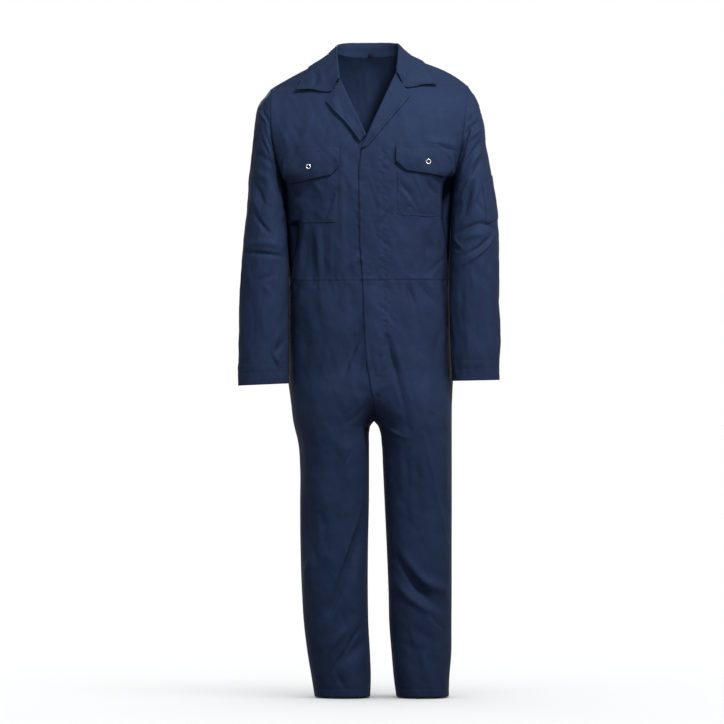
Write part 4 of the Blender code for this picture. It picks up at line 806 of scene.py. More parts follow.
def armhole_line(side, inset=0.0):
    x, z, _ = armhole_point(side, np.linspace(0, 1, 40))
    return line_of(x - TOWARDS[side] * inset, z)


def shoulder_line(side, inset=0.0):
    x = TOWARDS[side] * np.linspace(NECK_HALF, abs(SHOULDER_END_X[side]), 30)
    return line_of(x, ridge_height(x) - inset)


def waist_line():
    x = np.linspace(-0.205, 0.210, 60)
    return line_of(x, waist_height(x))


def middle_line(top, count):
    """Places along the middle of the trousers, from a height down to the crotch."""
    z = np.linspace(top, CROTCH_HEIGHT, count)
    return line_of(by_height(z, MIDDLE, 1), z)


def inside_leg_line(side):
    z = np.linspace(CROTCH_HEIGHT, HEM_HEIGHT, 60)
    return line_of(by_height(z, INSIDE_LEGS, 1 + side), z)


def hem_line(side):
    """The sewn line of a trouser hem."""
    inner, outer = by_height(HEM_STITCH, INSIDE_LEGS, 1 + side), by_height(HEM_STITCH, BODY, 1 + side)
    return line_of(np.linspace(float(inner), float(outer), 30), HEM_STITCH)


PLACKET_SEAM = metres((350, -2220), (362, -3000), (368, -4200), (400, -5410), (432, -6800))
FLY_SEAM = metres((432, -6800), (440, -7400), (400, -7750), (270, -8000), (120, -8150))
HEM_STITCH = HEM_HEIGHT + 0.022
# Heights between which the left front's closing edge is sewn.
EDGE_SEWN = (-0.225, -0.800)
CROTCH_SEAM, SEAT_SEAM = middle_line(LAP_BOTTOM, 20), middle_line(WAIST_HEIGHT, 50)
# Sewn lines: their places, their seed and how they differ from a plain seam.
PLACKET = {"strip": 0.0003, "valley": 0.0009, "pucker": 0.0017, "pucker_length": 0.013, "reach": 0.013, "slant": 0.8}
HEM = {"strip": 0.0, "pucker": 0.0006, "pucker_length": 0.018}
FRONT_SEAMS = (
    (
        waist_line(),
        41,
        {"valley": 0.0010, "half": 0.0019, "strip": 0.0006, "strip_width": 0.008, "pucker": 0.0018}
        | {"pucker_length": 0.0095, "reach": 0.009, "reach_other": 0.026},
    ),
    (PLACKET_SEAM, 43, PLACKET | {"strip_side": -1, "strip_width": 0.052, "reach_other": 0.016}),
    (FLY_SEAM, 44, PLACKET | {"reach_other": 0.016}),
    (
        edge_line(LEFT_EDGE, *EDGE_SEWN, 0.0075),
        42,
        {"valley": 0.0006, "strip": 0.0, "pucker": 0.0003, "pucker_length": 0.010},
    ),
    (
        edge_line(LEFT_EDGE, -0.260, -0.560, -0.0040),
        47,
        {"valley": 0.0, "strip": 0.0, "pucker": 0.0007, "pucker_length": 0.014, "reach_other": 0.016, "slant": -0.9},
    ),
    (armhole_line(RIGHT), 45, {"valley": 0.0010, "pucker": 0.0009}),
    (armhole_line(LEFT), 46, {"valley": 0.0010, "pucker": 0.0009, "strip_side": -1}),
    (CROTCH_SEAM, 49, {"pucker": 0.0006}),
    (hem_line(RIGHT), 50, HEM),
    (hem_line(LEFT), 51, HEM),
)
BACK_SEAMS = (
    (waist_line(), 61, {"strip": 0.0009, "strip_side": -1, "strip_width": 0.008, "pucker": 0.0010, "reach": 0.030}),
    (armhole_line(RIGHT), 65, {"pucker": 0.0006}),
    (armhole_line(LEFT), 66, {"pucker": 0.0006, "strip_side": -1}),
    (shoulder_line(RIGHT), 67, {"strip": 0.0007, "strip_width": 0.011}),
    (shoulder_line(LEFT), 68, {"strip": 0.0007, "strip_width": 0.011, "strip_side": -1}),
    (SEAT_SEAM, 69, {"strip": 0.0007, "pucker": 0.0006}),
    (hem_line(RIGHT), 70, HEM),
    (hem_line(LEFT), 71, HEM),
)
BODY_SEAMS = (FRONT_SEAMS, BACK_SEAMS)


def dressed_height(x, z, face):
    """How far the finished cloth stands out from the plain form of the body."""
    soft = relief(x, z, BODY_FOLDS[face]) + relief(x, z, FINE_FOLDS[face]) + uneven(x, z + 2 * face, BODY_WAVES)
    height = soft * calm_at_edges(x, z)
    for line, seed, more in BODY_SEAMS[face]:
        height = height + seam_relief(x, z, line, seed, **more)
    return height


def dressed(x, z, face, lift=0.0):
    """Points and outward directions of the finished cloth at places (x, z)."""
    x, z, points, normals = plain_form(x, z, face)
    return raised(points, normals, dressed_height(x, z, face), lift + SHELL_LIFT), normals


def eased_to(points, column, target, reach):
    """Moves a side column of a grid onto its seam, and the columns beside it along, less and less."""
    away = np.linalg.norm(points - points[:, column][:, None], axis=-1)
    change = target - points[:, column]
    return points + change[:, None, :] * ease(1 - away / reach)[..., None]


def armhole_column(points, column, side, face, rows):
    """The grid with its side column on the armhole seam, and the cloth beside it led there smoothly."""
    target = points[:, column].copy()
    beside = rows <= UNDERARM_SHARE + 1e-9
    x, z, depth = armhole_point(side, rows[beside] / UNDERARM_SHARE)
    out = armhole_normals(side, face, rows[beside])
    target[beside] = np.stack((x, TOWARDS[face] * depth, z), axis=-1) + out * SHELL_LIFT
    return eased_to(points, column, target, EDGE_BLEND)


def side_column(points, column, side, rows, reach=SEAM_BLEND):
    """The grid with a column, on the given rows, on the side seam that front and back share."""
    target = points[:, column].copy()
    z = points[rows, column, 2]
    out = side_seam_x(z, side, SHELL_LIFT)
    target[rows] = np.stack((TOWARDS[side] * out, by_height(z, BODY, 5), z), axis=-1)
    return eased_to(points, column, target, reach)


def inside_leg_column(points, side, rows):
    """The grid with its first column, on the given rows, on the inside leg seam."""
    target = points[:, 0].copy()
    z = points[rows, 0, 2]
    x = by_height(z, INSIDE_LEGS, 1 + side) - TOWARDS[side] * SHELL_LIFT
    target[rows] = np.stack((x, by_height(z, BODY, 5), z), axis=-1)
    return eased_to(points, 0, target, SEAM_BLEND)


def shoulder_row(points):
    """The grid with its first row on the shoulder seam, outside the neck opening."""
    first = points[0]
    on_ridge = np.abs(first[:, 0]) > NECK_HALF + 0.001
    height = np.where(on_ridge, ridge_height(first[:, 0]) + SHELL_LIFT, first[:, 2])
    depth = np.where(on_ridge, by_height(height, BODY, 5), first[:, 1])
    change = np.stack((first[:, 0], depth, height), axis=-1) - first
    away = np.linalg.norm(points - first[None], axis=-1)
    return points + change[None] * ease(1 - away / SEAM_BLEND)[..., None]


def below_underarm(rows):
    """Which rows are below the armhole, and how far in each is led to its side seam, less and less on the way down."""
    share = np.clip((rows - UNDERARM_SHARE) / (1 - UNDERARM_SHARE), 0, 1)
    reach = SEAM_BLEND + (EDGE_BLEND - SEAM_BLEND) * (1 - ease(share / 0.7))
    return rows > UNDERARM_SHARE + 1e-9, reach[:, None]


def side_fullness(points, column, side):
    """Lets the back stand out softly just behind its side seam, beside the sleeve."""
    away = np.linalg.norm(points - points[:, column][:, None], axis=-1)
    rise = np.interp(-points[..., 2], *SIDE_FULLNESS)
    swell = rise * np.sin(np.pi * np.clip(away / 0.032, 0, 1)) ** 2
    return points + swell[..., None] * np.array((TOWARDS[side], 0, 0))


def side_hollow(points, column, side):
    """Lets the front fall back to the depth of its side seam in the hollow between the chest and the sleeve."""
    seam_points = points[:, column][:, None]
    below, shares, widths = SIDE_HOLLOWS[side]
    depth, width = (np.interp(-points[..., 2], below, values) for values in (shares, widths))
    away = np.clip(np.abs(points[..., 0] - seam_points[..., 0]) / width, 0, 1)
    change = (seam_points[..., 1] - 0.003 - points[..., 1]) * depth * ease((1 - away) / 0.35)
    return points + np.maximum(change, 0)[..., None] * np.array((0, 1, 0))


# For each side: depth below the origin, how far the cloth there falls back, and how wide the hollow is.
SIDE_HOLLOWS = (
    ((0.392, 0.404, 0.450, 0.500, 0.560), (0.0, 0.85, 0.85, 0.70, 0.0), (0.037, 0.037, 0.031, 0.016, 0.010)),
    (
        (0.284, 0.298, 0.340, 0.390, 0.440, 0.480, 0.530),
        (0.0, 0.80, 0.85, 0.85, 0.75, 0.50, 0.0),
        (0.022, 0.027, 0.030, 0.028, 0.016, 0.009, 0.006),
    ),
)
# Depth below the origin, and how far the back then stands out.
SIDE_FULLNESS = ((0.25, 0.30, 0.42, 0.56, 0.78, 0.86), (0.0, 0.0022, 0.0026, 0.0042, 0.0044, 0.0))


def turned_edge(points, across, fade):
    """Columns before the first one, where the cloth turns under at a closing edge."""
    columns = [points[:, 0] + (across * along + np.array((0, depth, 0))) * fade[:, None] for along, depth in LAP_TURN]
    return np.concatenate((np.stack(columns[::-1], axis=1), points), axis=1)


def turned_hem(points, out):
    """Rows after the last one, where the cloth turns up inside at a hem."""
    rows = [points[-1] - out * inwards + np.array((0, 0, up)) for inwards, up in HEM_TURN]
    return np.concatenate((points, np.stack(rows)), axis=0)


def panel_rows():
    """Shares of the height between shoulder and waist, even round the armhole and then even down."""
    angles = np.linspace(0, np.pi, ARMHOLE_ROWS + 1)
    beside_armhole = UNDERARM_SHARE * (0.7 * (1 - np.cos(angles)) / 2 + 0.3 * angles / np.pi)
    below = np.linspace(UNDERARM_SHARE, 1, CHEST_ROWS + 1)[1:]
    return np.concatenate((beside_armhole, below))


def front_grid(side, edge_table):
    rows = panel_rows()
    spread = column_spread(CHEST_COLUMNS)
    x = np.zeros((len(rows), len(spread)))
    z = np.zeros_like(x)
    shoulder_x = abs(SHOULDER_END_X[side])
    for index, share in enumerate(rows):
        reach = abs(torso_side(share, side)[0])
        edge = straight_by_height(edge_height(share), edge_table, 1) * TOWARDS[side] / reach
        across = edge + (1 - edge) * spread
        x[index] = TOWARDS[side] * across * reach
        shoulder = ridge_height(across * TOWARDS[side] * shoulder_x)
        top = np.where(across * shoulder_x > NECK_HALF, shoulder, NECK_HEIGHT)
        z[index] = top * (1 - share) + waist_height(x[index]) * share
    return x, z, rows


def front_shell(name, side, edge_table):
    x, z, rows = front_grid(side, edge_table)
    lift = -lap_drop(x, z) if side == RIGHT else 0.0
    points, _ = dressed(x, z, FRONT, lift)
    points = armhole_column(points, -1, side, FRONT, rows)
    points = side_column(points, -1, side, *below_underarm(rows))
    points = side_hollow(shoulder_row(points), -1, side)
    if side == LEFT:
        fade = ease((LAP_TOP + TURN_FADE - points[:, 0, 2]) / TURN_FADE)
        points = turned_edge(points, unit(points[:, 1] - points[:, 0]), fade)
    return shell(name, points)


def back_shell():
    rows = panel_rows()
    spread = column_spread(BACK_COLUMNS)
    x_rows, z_rows = [], []
    for share in rows:
        x_parts, z_parts = [], []
        for side in (RIGHT, LEFT):
            reach = abs(torso_side(share, side)[0])
            shoulder_x = abs(SHOULDER_END_X[side])
            neck = NECK_HALF / shoulder_x
            outer = neck + (1 - neck) * spread
            across = np.concatenate((np.linspace(0, neck, BACK_NECK_COLUMNS // 2 + 1)[:-1], outer))
            top_x = TOWARDS[side] * across * shoulder_x
            neckline = BACK_NECK_HEIGHT + (NECK_HEIGHT - BACK_NECK_HEIGHT) * (top_x / NECK_HALF) ** 2
            top = np.where(np.abs(top_x) < NECK_HALF - 1e-9, neckline, ridge_height(top_x))
            x_side = TOWARDS[side] * across * reach
            x_parts.append(x_side)
            z_parts.append(top * (1 - share) + waist_height(x_side) * share)
        x_rows.append(np.concatenate((x_parts[RIGHT][::-1], x_parts[LEFT][1:])))
        z_rows.append(np.concatenate((z_parts[RIGHT][::-1], z_parts[LEFT][1:])))
    points, _ = dressed(np.array(x_rows), np.array(z_rows), BACK)
    points = armhole_column(points, 0, RIGHT, BACK, rows)
    points = armhole_column(points, -1, LEFT, BACK, rows)
    for side, column in ((RIGHT, 0), (LEFT, -1)):
        points = side_column(points, column, side, *below_underarm(rows))
        points = side_fullness(points, column, side)
    return shell("back_cloth", shoulder_row(points))


def leg_rows():
    closing = SEAT_ROWS // 2
    even = np.linspace(WAIST_HEIGHT, SEAT_TURN_HEIGHT, SEAT_ROWS - closing + 1)
    turns = np.sin(np.linspace(0, np.pi / 2, closing + 1)[1:])
    to_crotch = SEAT_TURN_HEIGHT + (CROTCH_HEIGHT - SEAT_TURN_HEIGHT) * turns
    legs = CROTCH_HEIGHT + (HEM_HEIGHT - CROTCH_HEIGHT) * np.linspace(0, 1, LEG_ROWS + 1)[1:] ** 1.15
    return np.concatenate((even, to_crotch, legs))


def trouser_shell(name, side, face, edge_table=None):
    heights = leg_rows()
    turns = np.linspace(0, 1, LEG_COLUMNS[face] + 1)
    x = np.zeros((len(heights), len(turns)))
    z = np.zeros_like(x)
    for index, height in enumerate(heights):
        centre, half = leg_limits(height, side, face)
        outer = by_height(height, BODY, 1 + side)
        if height < CROTCH_HEIGHT:
            inner = by_height(height, INSIDE_LEGS, 1 + side)
        elif edge_table is not None and height > edge_table[-1, 0]:
            inner = straight_by_height(height, edge_table, 1)
        else:
            inner = by_height(height, MIDDLE, 1)
        start = np.arcsin(np.clip((inner - centre) / half * TOWARDS[side], -1, 1))
        x[index] = centre + TOWARDS[side] * half * np.sin(start + (np.pi / 2 - start) * turns)
        x[index, 0], x[index, -1] = inner, outer
        z[index] = height + (waist_height(x[index]) - WAIST_HEIGHT) * max(0.0, 1 - index / SEAT_ROWS)
    lift = -lap_drop(x, z) if side == RIGHT and face == FRONT else 0.0
    points, normals = dressed(x, z, face, lift)
    points = side_column(points, -1, side, np.arange(len(heights)))
    points = inside_leg_column(points, side, heights < CROTCH_HEIGHT - 1e-9)
    if face == BACK:
        points = side_fullness(points, -1, side)
    points = turned_hem(points, unit(normals[-1] * LEVEL))
    if edge_table is LEFT_EDGE:
        fade = np.pad(1.0 * (heights > LAP_BOTTOM), (0, len(HEM_TURN)))
        points = turned_edge(points, np.array((1, 0, 0)), fade)
    return shell(name, points)


def sleeve_grid(side, table):
    """The finished sleeve: rows from the armhole to the cuff, columns round from the underarm seam by the back."""
    half_turn = np.linspace(0, np.pi, ARMHOLE_ROWS + 1)
    turns = np.concatenate((-half_turn[::-1], half_turn[1:]))[None, :]
    rings = np.linspace(0, len(table) - 1, SLEEVE_RINGS)
    places = np.arange(len(table), dtype=float)
    outer_x, outer_z, inner_x, inner_z, middle_y, depth = spline_columns(rings, places, table).T[..., None]
    inner_x = inner_x - TOWARDS[side] * np.interp(rings, places, SLEEVE_REST[side])[:, None]
    bow = np.clip(1 - rings / 4, 0, 1)[:, None] ** 2 * ARMHOLE_BOW[side] * np.sin(turns) ** 2
    x = (outer_x + inner_x) / 2 + (outer_x - inner_x) / 2 * np.cos(turns) + bow
    z = (outer_z + inner_z) / 2 + (outer_z - inner_z) / 2 * np.cos(turns)
    points = np.stack((x, middle_y - depth * np.sin(turns), z), axis=-1)
    normals = grid_normals(points) * TOWARDS[side]
    if np.mean(normals[:, ARMHOLE_ROWS, 0]) * TOWARDS[side] < 0:
        normals = -normals
    normals[:, 0] = normals[:, -1] = unit(normals[:, 0] + normals[:, -1])
    heights = np.zeros(x.shape)
    for face in (FRONT, BACK):
        facing = ease(np.clip(normals[..., 1] * TOWARDS[face], 0, 1) * 1.6)
        heights += relief(x, z, SLEEVE_FOLDS[face]) * facing
    around = np.linspace(0, 1, x.shape[1])[None, :]
    from_seam = np.minimum(around, 1 - around)
    heights += uneven(around * SLEEVE_GIRTH + 3 * side, rings[:, None] * RING_PITCH, SLEEVE_WAVES)
    heights *= ease(rings)[:, None] * ease(from_seam / 0.06)
    heights += armhole_puckers(rings, np.abs(turns) * 0.07 + 0.3 * side)
    heights -= 0.0009 * np.exp(-((from_seam * SLEEVE_GIRTH / 0.003) ** 2))
    for stitch_ring in CUFF_STITCH_RINGS:
        away = (rings[:, None] - stitch_ring) * RING_PITCH
        gather = waves(around * 0.42 / 0.016 + 5 * side + stitch_ring, away / 0.05 + 2, 77)
        heights += sewn(away, gather, 0.0007, 0.016, 0.0006, 0.0022)
    return points + normals * (heights + SHELL_LIFT)[..., None], normals


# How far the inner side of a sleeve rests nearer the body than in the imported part, ring by ring.
SLEEVE_REST = metres(
    (0, 46, 64, 64, 52, 22, 4, 0, 0, 0, 0, 0),
    (0, 48, 62, 66, 56, 32, 14, 0, 0, 0, 6, 10),
)
CUFF_STITCH_RINGS = (10.27, 10.56)
# The sleeve's length between two rows of its table, its girth, and its grid's rows for each row of the table.
RING_PITCH, SLEEVE_GIRTH = 0.067, 0.45
ROWS_A_RING = (SLEEVE_RINGS - 1) / (len(LEFT_SLEEVE) - 1)


def armhole_puckers(rings, round_seam):
    """Small gathers that run out from the armhole seam into the sleeve."""
    away = rings[:, None] * 0.045
    gather = waves(round_seam / 0.016 + 0.5 * away / 0.045, away / 0.12, 31)
    gather = gather + 0.6 * waves(round_seam / 0.007, away / 0.08, 32)
    ridge = 0.0008 * np.exp(-(((away - 0.004) / 0.004) ** 2))
    return 0.0011 * gather * np.exp(-away / 0.030) * ease(away / 0.004) + ridge


def sleeve_shell(name, side, table):
    points, normals = sleeve_grid(side, table)
    points = turned_hem(points, normals[-1])
    return shell(name, points), (points, normals)


def on_grid(grid, rows, columns):
    """Values of a grid of points or directions between its rows and columns."""
    rows = np.clip(np.asarray(rows, float), 0, grid.shape[0] - 1.001)
    columns = np.clip(np.asarray(columns, float), 0, grid.shape[1] - 1.001)
    row, column = np.floor(rows).astype(int), np.floor(columns).astype(int)
    down, across = (rows - row)[..., None], (columns - column)[..., None]
    upper = grid[row, column] * (1 - across) + grid[row, column + 1] * across
    lower = grid[row + 1, column] * (1 - across) + grid[row + 1, column + 1] * across
    return upper * (1 - down) + lower * down


COLLAR_SECTIONS, COLLAR_POINTS = 13, 15


def collar_grid():
    """The collar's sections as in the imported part, then as many finer rows and columns between them."""
    halves = []
    for table in (RIGHT_COLLAR, LEFT_COLLAR):
        at = np.linspace(0, len(table) - 1, COLLAR_SECTIONS)
        rows = spline_columns(at, np.arange(len(table), dtype=float), table)
        halves.append([collar_section(row) for row in rows])
    coarse = np.array(halves[RIGHT][::-1] + halves[LEFT][1:])
    row_places, column_places = (np.arange(count, dtype=float) for count in coarse.shape[:2])
    rows, columns = np.linspace(0, row_places[-1], COLLAR_COLUMNS), np.linspace(0, column_places[-1], COLLAR_ROWS)
    down = np.stack([spline_columns(rows, row_places, line) for line in np.swapaxes(coarse, 0, 1)], axis=1)
    return np.stack([spline_columns(columns, column_places, line) for line in down])


def collar_points():
    points = collar_grid()
    normals = grid_normals(points)
    along = np.linspace(-1, 1, COLLAR_COLUMNS)[:, None]
    through = np.linspace(0, 1, COLLAR_ROWS)[None, :]
    leaf = ease((through - 0.50) / 0.18)
    from_edge = np.minimum((1 - through) * COLLAR_DEPTH, (1 - np.abs(along)) * HALF_COLLAR_LENGTH)
    length = along * HALF_COLLAR_LENGTH
    front_end = ease((np.abs(along) - 0.55) / 0.30)
    heights = COLLAR_FLARE * ease((through - 0.70) / 0.30) * front_end
    heights = heights + 0.0026 * waves(length / 0.026 + 4, through / 1.3 + 1, 51) * leaf
    heights = heights + 0.0007 * waves(length / 0.012 + 9, through / 0.9 + 2, 52) * leaf
    gather = waves((length + from_edge) / 0.008, from_edge / 0.02, 53)
    heights += sewn(from_edge - COLLAR_STITCH, gather, *COLLAR_SEWN) * leaf
    heights += 0.0006 * waves(length / 0.020, through / 0.25, 54) * (1 - leaf)
    heights += relief(points[..., 0], points[..., 2], COLLAR_FOLDS) * leaf
    return points + normals * heights[..., None], normals


COLLAR_DEPTH, HALF_COLLAR_LENGTH = 0.150, 0.300
COLLAR_STITCH = 0.0062
# What the sewn line beside its edge does to the cloth.
COLLAR_SEWN = (0.0005, 0.007, 0.0005)
# Soft folds across the leaves, tables as above.
COLLAR_FOLDS = metres(
    (-1323, -220, -1274, -441, -1335, -690, 70, -34), (-1176, -200, -1127, -441, -1150, -690, 60, 18),
    (-1569, -441, -1544, -590, -1569, -735, 60, -15), (919, -110, 907, -368, 858, -637, 72, -34),
    (1078, -184, 1066, -400, 1029, -640, 60, 16), (1250, -300, 1274, -441, 1298, -600, 55, -12),
)
# How much further the leaves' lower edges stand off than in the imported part, and each lapel's outer edge.
COLLAR_FLARE = 0.0042
LAPEL_FLARE = (0.0050, 0.0022)


def lapel_points(side, table, edge_table):
    """The front's turned-back top: it curls round the roll line and lies on the chest."""
    along = np.linspace(0, len(table) - 1, LAPEL_ROWS)
    roll_z, outer_x, outer_z = (np.interp(along, np.arange(len(table)), column) for column in table.T)
    start = line_of(straight_by_height(roll_z, edge_table, 1), roll_z)
    way = line_of(outer_x, outer_z) - start
    width = np.linalg.norm(way, axis=-1, keepdims=True)
    way = way / width
    base, normal = dressed(start[:, 0], start[:, 1], FRONT)
    towards_edge = np.stack((way[:, 0], np.zeros(len(way)), way[:, 1]), axis=-1)
    towards_edge -= normal * np.sum(towards_edge * normal, axis=-1, keepdims=True)
    columns = []
    for angle in np.linspace(LAPEL_START_ANGLE, np.pi, LAPEL_CURL_POINTS + 1)[:-1]:
        curl = normal * (1 - np.cos(angle)) - towards_edge * np.sin(angle)
        columns.append(base + LAPEL_ROLL * curl)
    flare = LAPEL_FLARE[side] * np.sin(np.pi * np.linspace(0.12, 0.9, LAPEL_ROWS))
    for share in np.linspace(0, 1, LAPEL_POINTS):
        place = start + way * width * share
        lift = LAPEL_EDGE_LIFT + (2 * LAPEL_ROLL - LAPEL_EDGE_LIFT) * (1 - share) ** 2 + flare * share**2
        columns.append(dressed(place[:, 0], place[:, 1], FRONT, lift)[0])
    points = np.stack(columns, axis=1)
    normals = front_normals(points)
    down = np.linspace(0, 1, LAPEL_ROWS)[:, None]
    across = np.concatenate((np.zeros(LAPEL_CURL_POINTS), np.linspace(0, 1, LAPEL_POINTS)))[None, :]
    from_edge = np.minimum((1 - across) * width, down * 0.16)
    length = down * 0.17
    gather = waves((length - from_edge) / 0.008, from_edge / 0.02, 57 + side)
    heights = 0.0011 * waves(length / 0.030, across * 2.0 + side, 58) * ease(across / 0.3)
    heights = heights + sewn(from_edge - COLLAR_STITCH, gather, *COLLAR_SEWN)
    return points + normals * heights[..., None], normals


# ---- Meshes ----


def grid_faces(rows, columns):
    index = np.arange(rows * columns).reshape(rows, columns)
    quads = np.stack((index[:-1, :-1], index[1:, :-1], index[1:, 1:], index[:-1, 1:]), axis=-1)
    return quads.reshape(-1, 4)


def cloth_places(points):
    """Each point's place on the flat cloth in metres, for the weave."""
    u = lengths_along(np.linalg.norm(np.diff(points, axis=1), axis=-1).mean(axis=0))
    v = lengths_along(np.linalg.norm(np.diff(points, axis=0), axis=-1).mean(axis=1))
    return line_of(u[None, :], -v[:, None]).reshape(-1, 2)


def made_mesh(name, corners, faces, places=None, wear_and_highlight=None):
    mesh = bpy.data.meshes.new(name)
    mesh.from_pydata(np.asarray(corners, float).tolist(), [], np.asarray(faces).tolist())
    mesh.update()
    mesh.polygons.foreach_set("use_smooth", [True] * len(mesh.polygons))
    if places is not None:
        loops = np.empty(len(mesh.loops), np.int32)
        mesh.loops.foreach_get("vertex_index", loops)
        layer = mesh.uv_layers.new(name="Cloth")
        layer.data.foreach_set("uv", places[loops].astype(np.float32).ravel())
    # A mask of the open edges, which the cloth's colour paints paler: partly wear, partly a painted highlight where
    # light catches the edges.
    if wear_and_highlight is not None:
        layer = mesh.attributes.new("wear_and_highlight", "FLOAT", "POINT")
        layer.data.foreach_set("value", np.asarray(wear_and_highlight, np.float32).ravel())
    piece = bpy.data.objects.new(name, mesh)
    bpy.context.scene.collection.objects.link(piece)
    return piece


def edge_nearness(points):
    """1 at the open edges of a grid, falling to 0 inside it."""
    nearest = np.inf
    for axis in (0, 1):
        steps = np.linalg.norm(np.diff(points, axis=axis), axis=-1)
        along = np.cumsum(np.insert(steps, 0, 0, axis=axis), axis=axis)
        nearest = np.minimum(nearest, np.minimum(along, np.take(along, [-1], axis=axis) - along))
    return np.exp(-((nearest / EDGE_NEARNESS_REACH) ** 2))


def shell(name, points):
    """A piece of cloth as one layer. Its edges turn under where the garment's do."""
    wear_and_highlight = np.zeros(points.shape[:2])
    return made_mesh(name, points.reshape(-1, 3), grid_faces(*wear_and_highlight.shape), cloth_places(points), wear_and_highlight)


def thick_shell(name, points, normals, thickness):
    """A closed piece of doubled cloth with a rounded edge."""
    rows, columns = points.shape[:2]
    # Nearness to the open edges rounds the edge, and also paints it paler: partly wear, partly a painted highlight.
    wear_and_highlight = edge_nearness(points)
    inset = normals * thickness / 2 * np.minimum(1.0, 0.45 + 0.55 * (1 - wear_and_highlight))[..., None]
    corners = np.concatenate(((points + inset).reshape(-1, 3), (points - inset).reshape(-1, 3)))
    quads = grid_faces(rows, columns)
    behind = rows * columns
    index = np.arange(behind).reshape(rows, columns)
    border = np.concatenate((index[0, :-1], index[:-1, -1], index[-1, :0:-1], index[:0:-1, 0]))
    beyond = np.roll(border, -1)
    rim = np.stack((border, beyond, beyond + behind, border + behind), axis=-1)
    faces = np.concatenate((quads, quads[:, ::-1] + behind, rim))
    return made_mesh(name, corners, faces, np.tile(cloth_places(points), (2, 1)), np.tile(wear_and_highlight.ravel(), 2))


# ---- Patches on the chest ----

# Columns and rows.
POCKET_GRID, FLAP_GRID = (64, 84), (84, 44)
CORNER_SOFTNESS = 0.0022
PATCH_THICKNESS = 0.0008
EDGE_NEARNESS_REACH = 0.004
# The pen pocket: rows and columns of its grid, its top and bottom between the rows of the sleeve's table, and the
# degrees that it reaches to the back and to the front of the sleeve's outer side.
PEN_POCKET_GRID, PEN_POCKET_RINGS, PEN_POCKET_TURN = (60, 44), (4.95, 6.32), (-20, 60)


def soft_profile(x, outline, column):
    """One edge of an outline with its corners rounded a little."""
    low, high = outline[0, 0], outline[-1, 0]
    sign = np.sign(high - low)
    near = []
    for offset in np.linspace(-1, 1, 9) * CORNER_SOFTNESS:
        inside = np.clip((x + offset) * sign, low * sign, high * sign)
        near.append(np.interp(inside, outline[:, 0] * sign, outline[:, column]))
    return np.mean(near, axis=0)


def patch_places(outline, columns, rows):
    across, down = np.meshgrid(np.linspace(0, 1, columns), np.linspace(0, 1, rows))
    x = outline[0, 0] + (outline[-1, 0] - outline[0, 0]) * across
    top, bottom = soft_profile(x, outline, 1), soft_profile(x, outline, 2)
    return x, top * (1 - down) + bottom * down, across, down


def chest_piece(name, outline, lift, columns, rows, seed):
    """A pocket or flap: its lift is a function of its shares across and down. It returns the piece and its grid."""
    x, z, across, down = patch_places(outline, columns, rows)
    width, height = abs(outline[-1, 0] - outline[0, 0]), abs(np.mean(outline[:, 1] - outline[:, 2]))
    from_edge = np.minimum(np.minimum(across, 1 - across) * width, np.minimum(down, 1 - down) * height)
    own = 0.0006 * waves(x / 0.024 + seed, z / 0.040, seed) * ease(from_edge / 0.02)
    gather = waves((x + z) / 0.009 + seed, from_edge / 0.03, seed + 1)
    for inset in PATCH_INSETS:
        own = own + sewn(from_edge - inset, gather, 0.0003, 0.006, 0.0002)
    points, _ = dressed(x, z, FRONT, lift(x, z, across, down) + own)
    normals = front_normals(points)
    return thick_shell(name, points, normals, PATCH_THICKNESS), (points, normals)


def pocket_lift(x, z, across, down):
    """A pocket lies flat at its sewn edges and stands off softly inside, most near its mouth."""
    inside = ease(np.minimum(across, 1 - across) / 0.22) * ease((1 - down) / 0.22)
    return 0.0005 + 0.0018 * inside * (1 - 0.45 * down)


def flap_lift(side):
    """A flap is sewn down at its top, stands off more and more below, and is pressed in round its stud."""
    stud_x, stud_z = STUD_PLACES[side]

    def lift(x, z, across, down):
        held = np.exp(-(((x - stud_x) ** 2 + (z - stud_z) ** 2) / 0.014**2))
        corner = 0.0012 * np.abs(2 * across - 1) ** 3 * down
        return 0.0042 + 0.0034 * ease(down / 0.6) + corner - 0.0016 * held

    return lift


def stud_pieces(name, grid, place):
    """A pressed ring seated on its flap, with a near-black disc in its hollow: painted shade for the hollow's shadow.
    """
    points, normals = grid
    away = np.hypot(points[..., 0] - place[0], points[..., 2] - place[1])
    nearest = np.unravel_index(np.argmin(away), away.shape)
    normal = normals[nearest]
    base = points[nearest] + normal * (PATCH_THICKNESS / 2 - 0.0001)
    side = unit(np.cross(normal, (0, 0, 1)))
    axes = (side, np.cross(side, normal), normal)
    ring = turned_profile(name, base, axes, STUD_RING, RING_SEGMENTS)
    return ring, turned_profile(name + "_socket", base, axes, STUD_SOCKET, SOCKET_SEGMENTS)


RING_SEGMENTS, SOCKET_SEGMENTS = 56, 40
# Radius and height in metres, from outside to inside.
STUD_RING = (
    ((0.0054, 0.0), (0.0060, 0.0003), (0.0061, 0.0007), (0.0059, 0.0011), (0.0055, 0.0014))
    + ((0.0050, 0.0014), (0.0045, 0.0012), (0.0042, 0.0008), (0.0041, 0.0002))
)  # fmt: skip
STUD_SOCKET = (
    ((0.0043, 0.0003), (0.0037, 0.0001), (0.0028, 0.0002), (0.0018, 0.0002))
    + ((0.0012, 0.0003), (0.0006, 0.0003), (0.00005, 0.0003))
)  # fmt: skip


def turned_profile(name, base, axes, profile, segments):
    side, up, normal = axes
    turns = np.linspace(0, 2 * np.pi, segments + 1)
    spokes = np.cos(turns)[:, None] * side + np.sin(turns)[:, None] * up
    points = np.stack([base + spokes * radius + normal * height for radius, height in profile])
    return made_mesh(name, points.reshape(-1, 3), grid_faces(*points.shape[:2]))


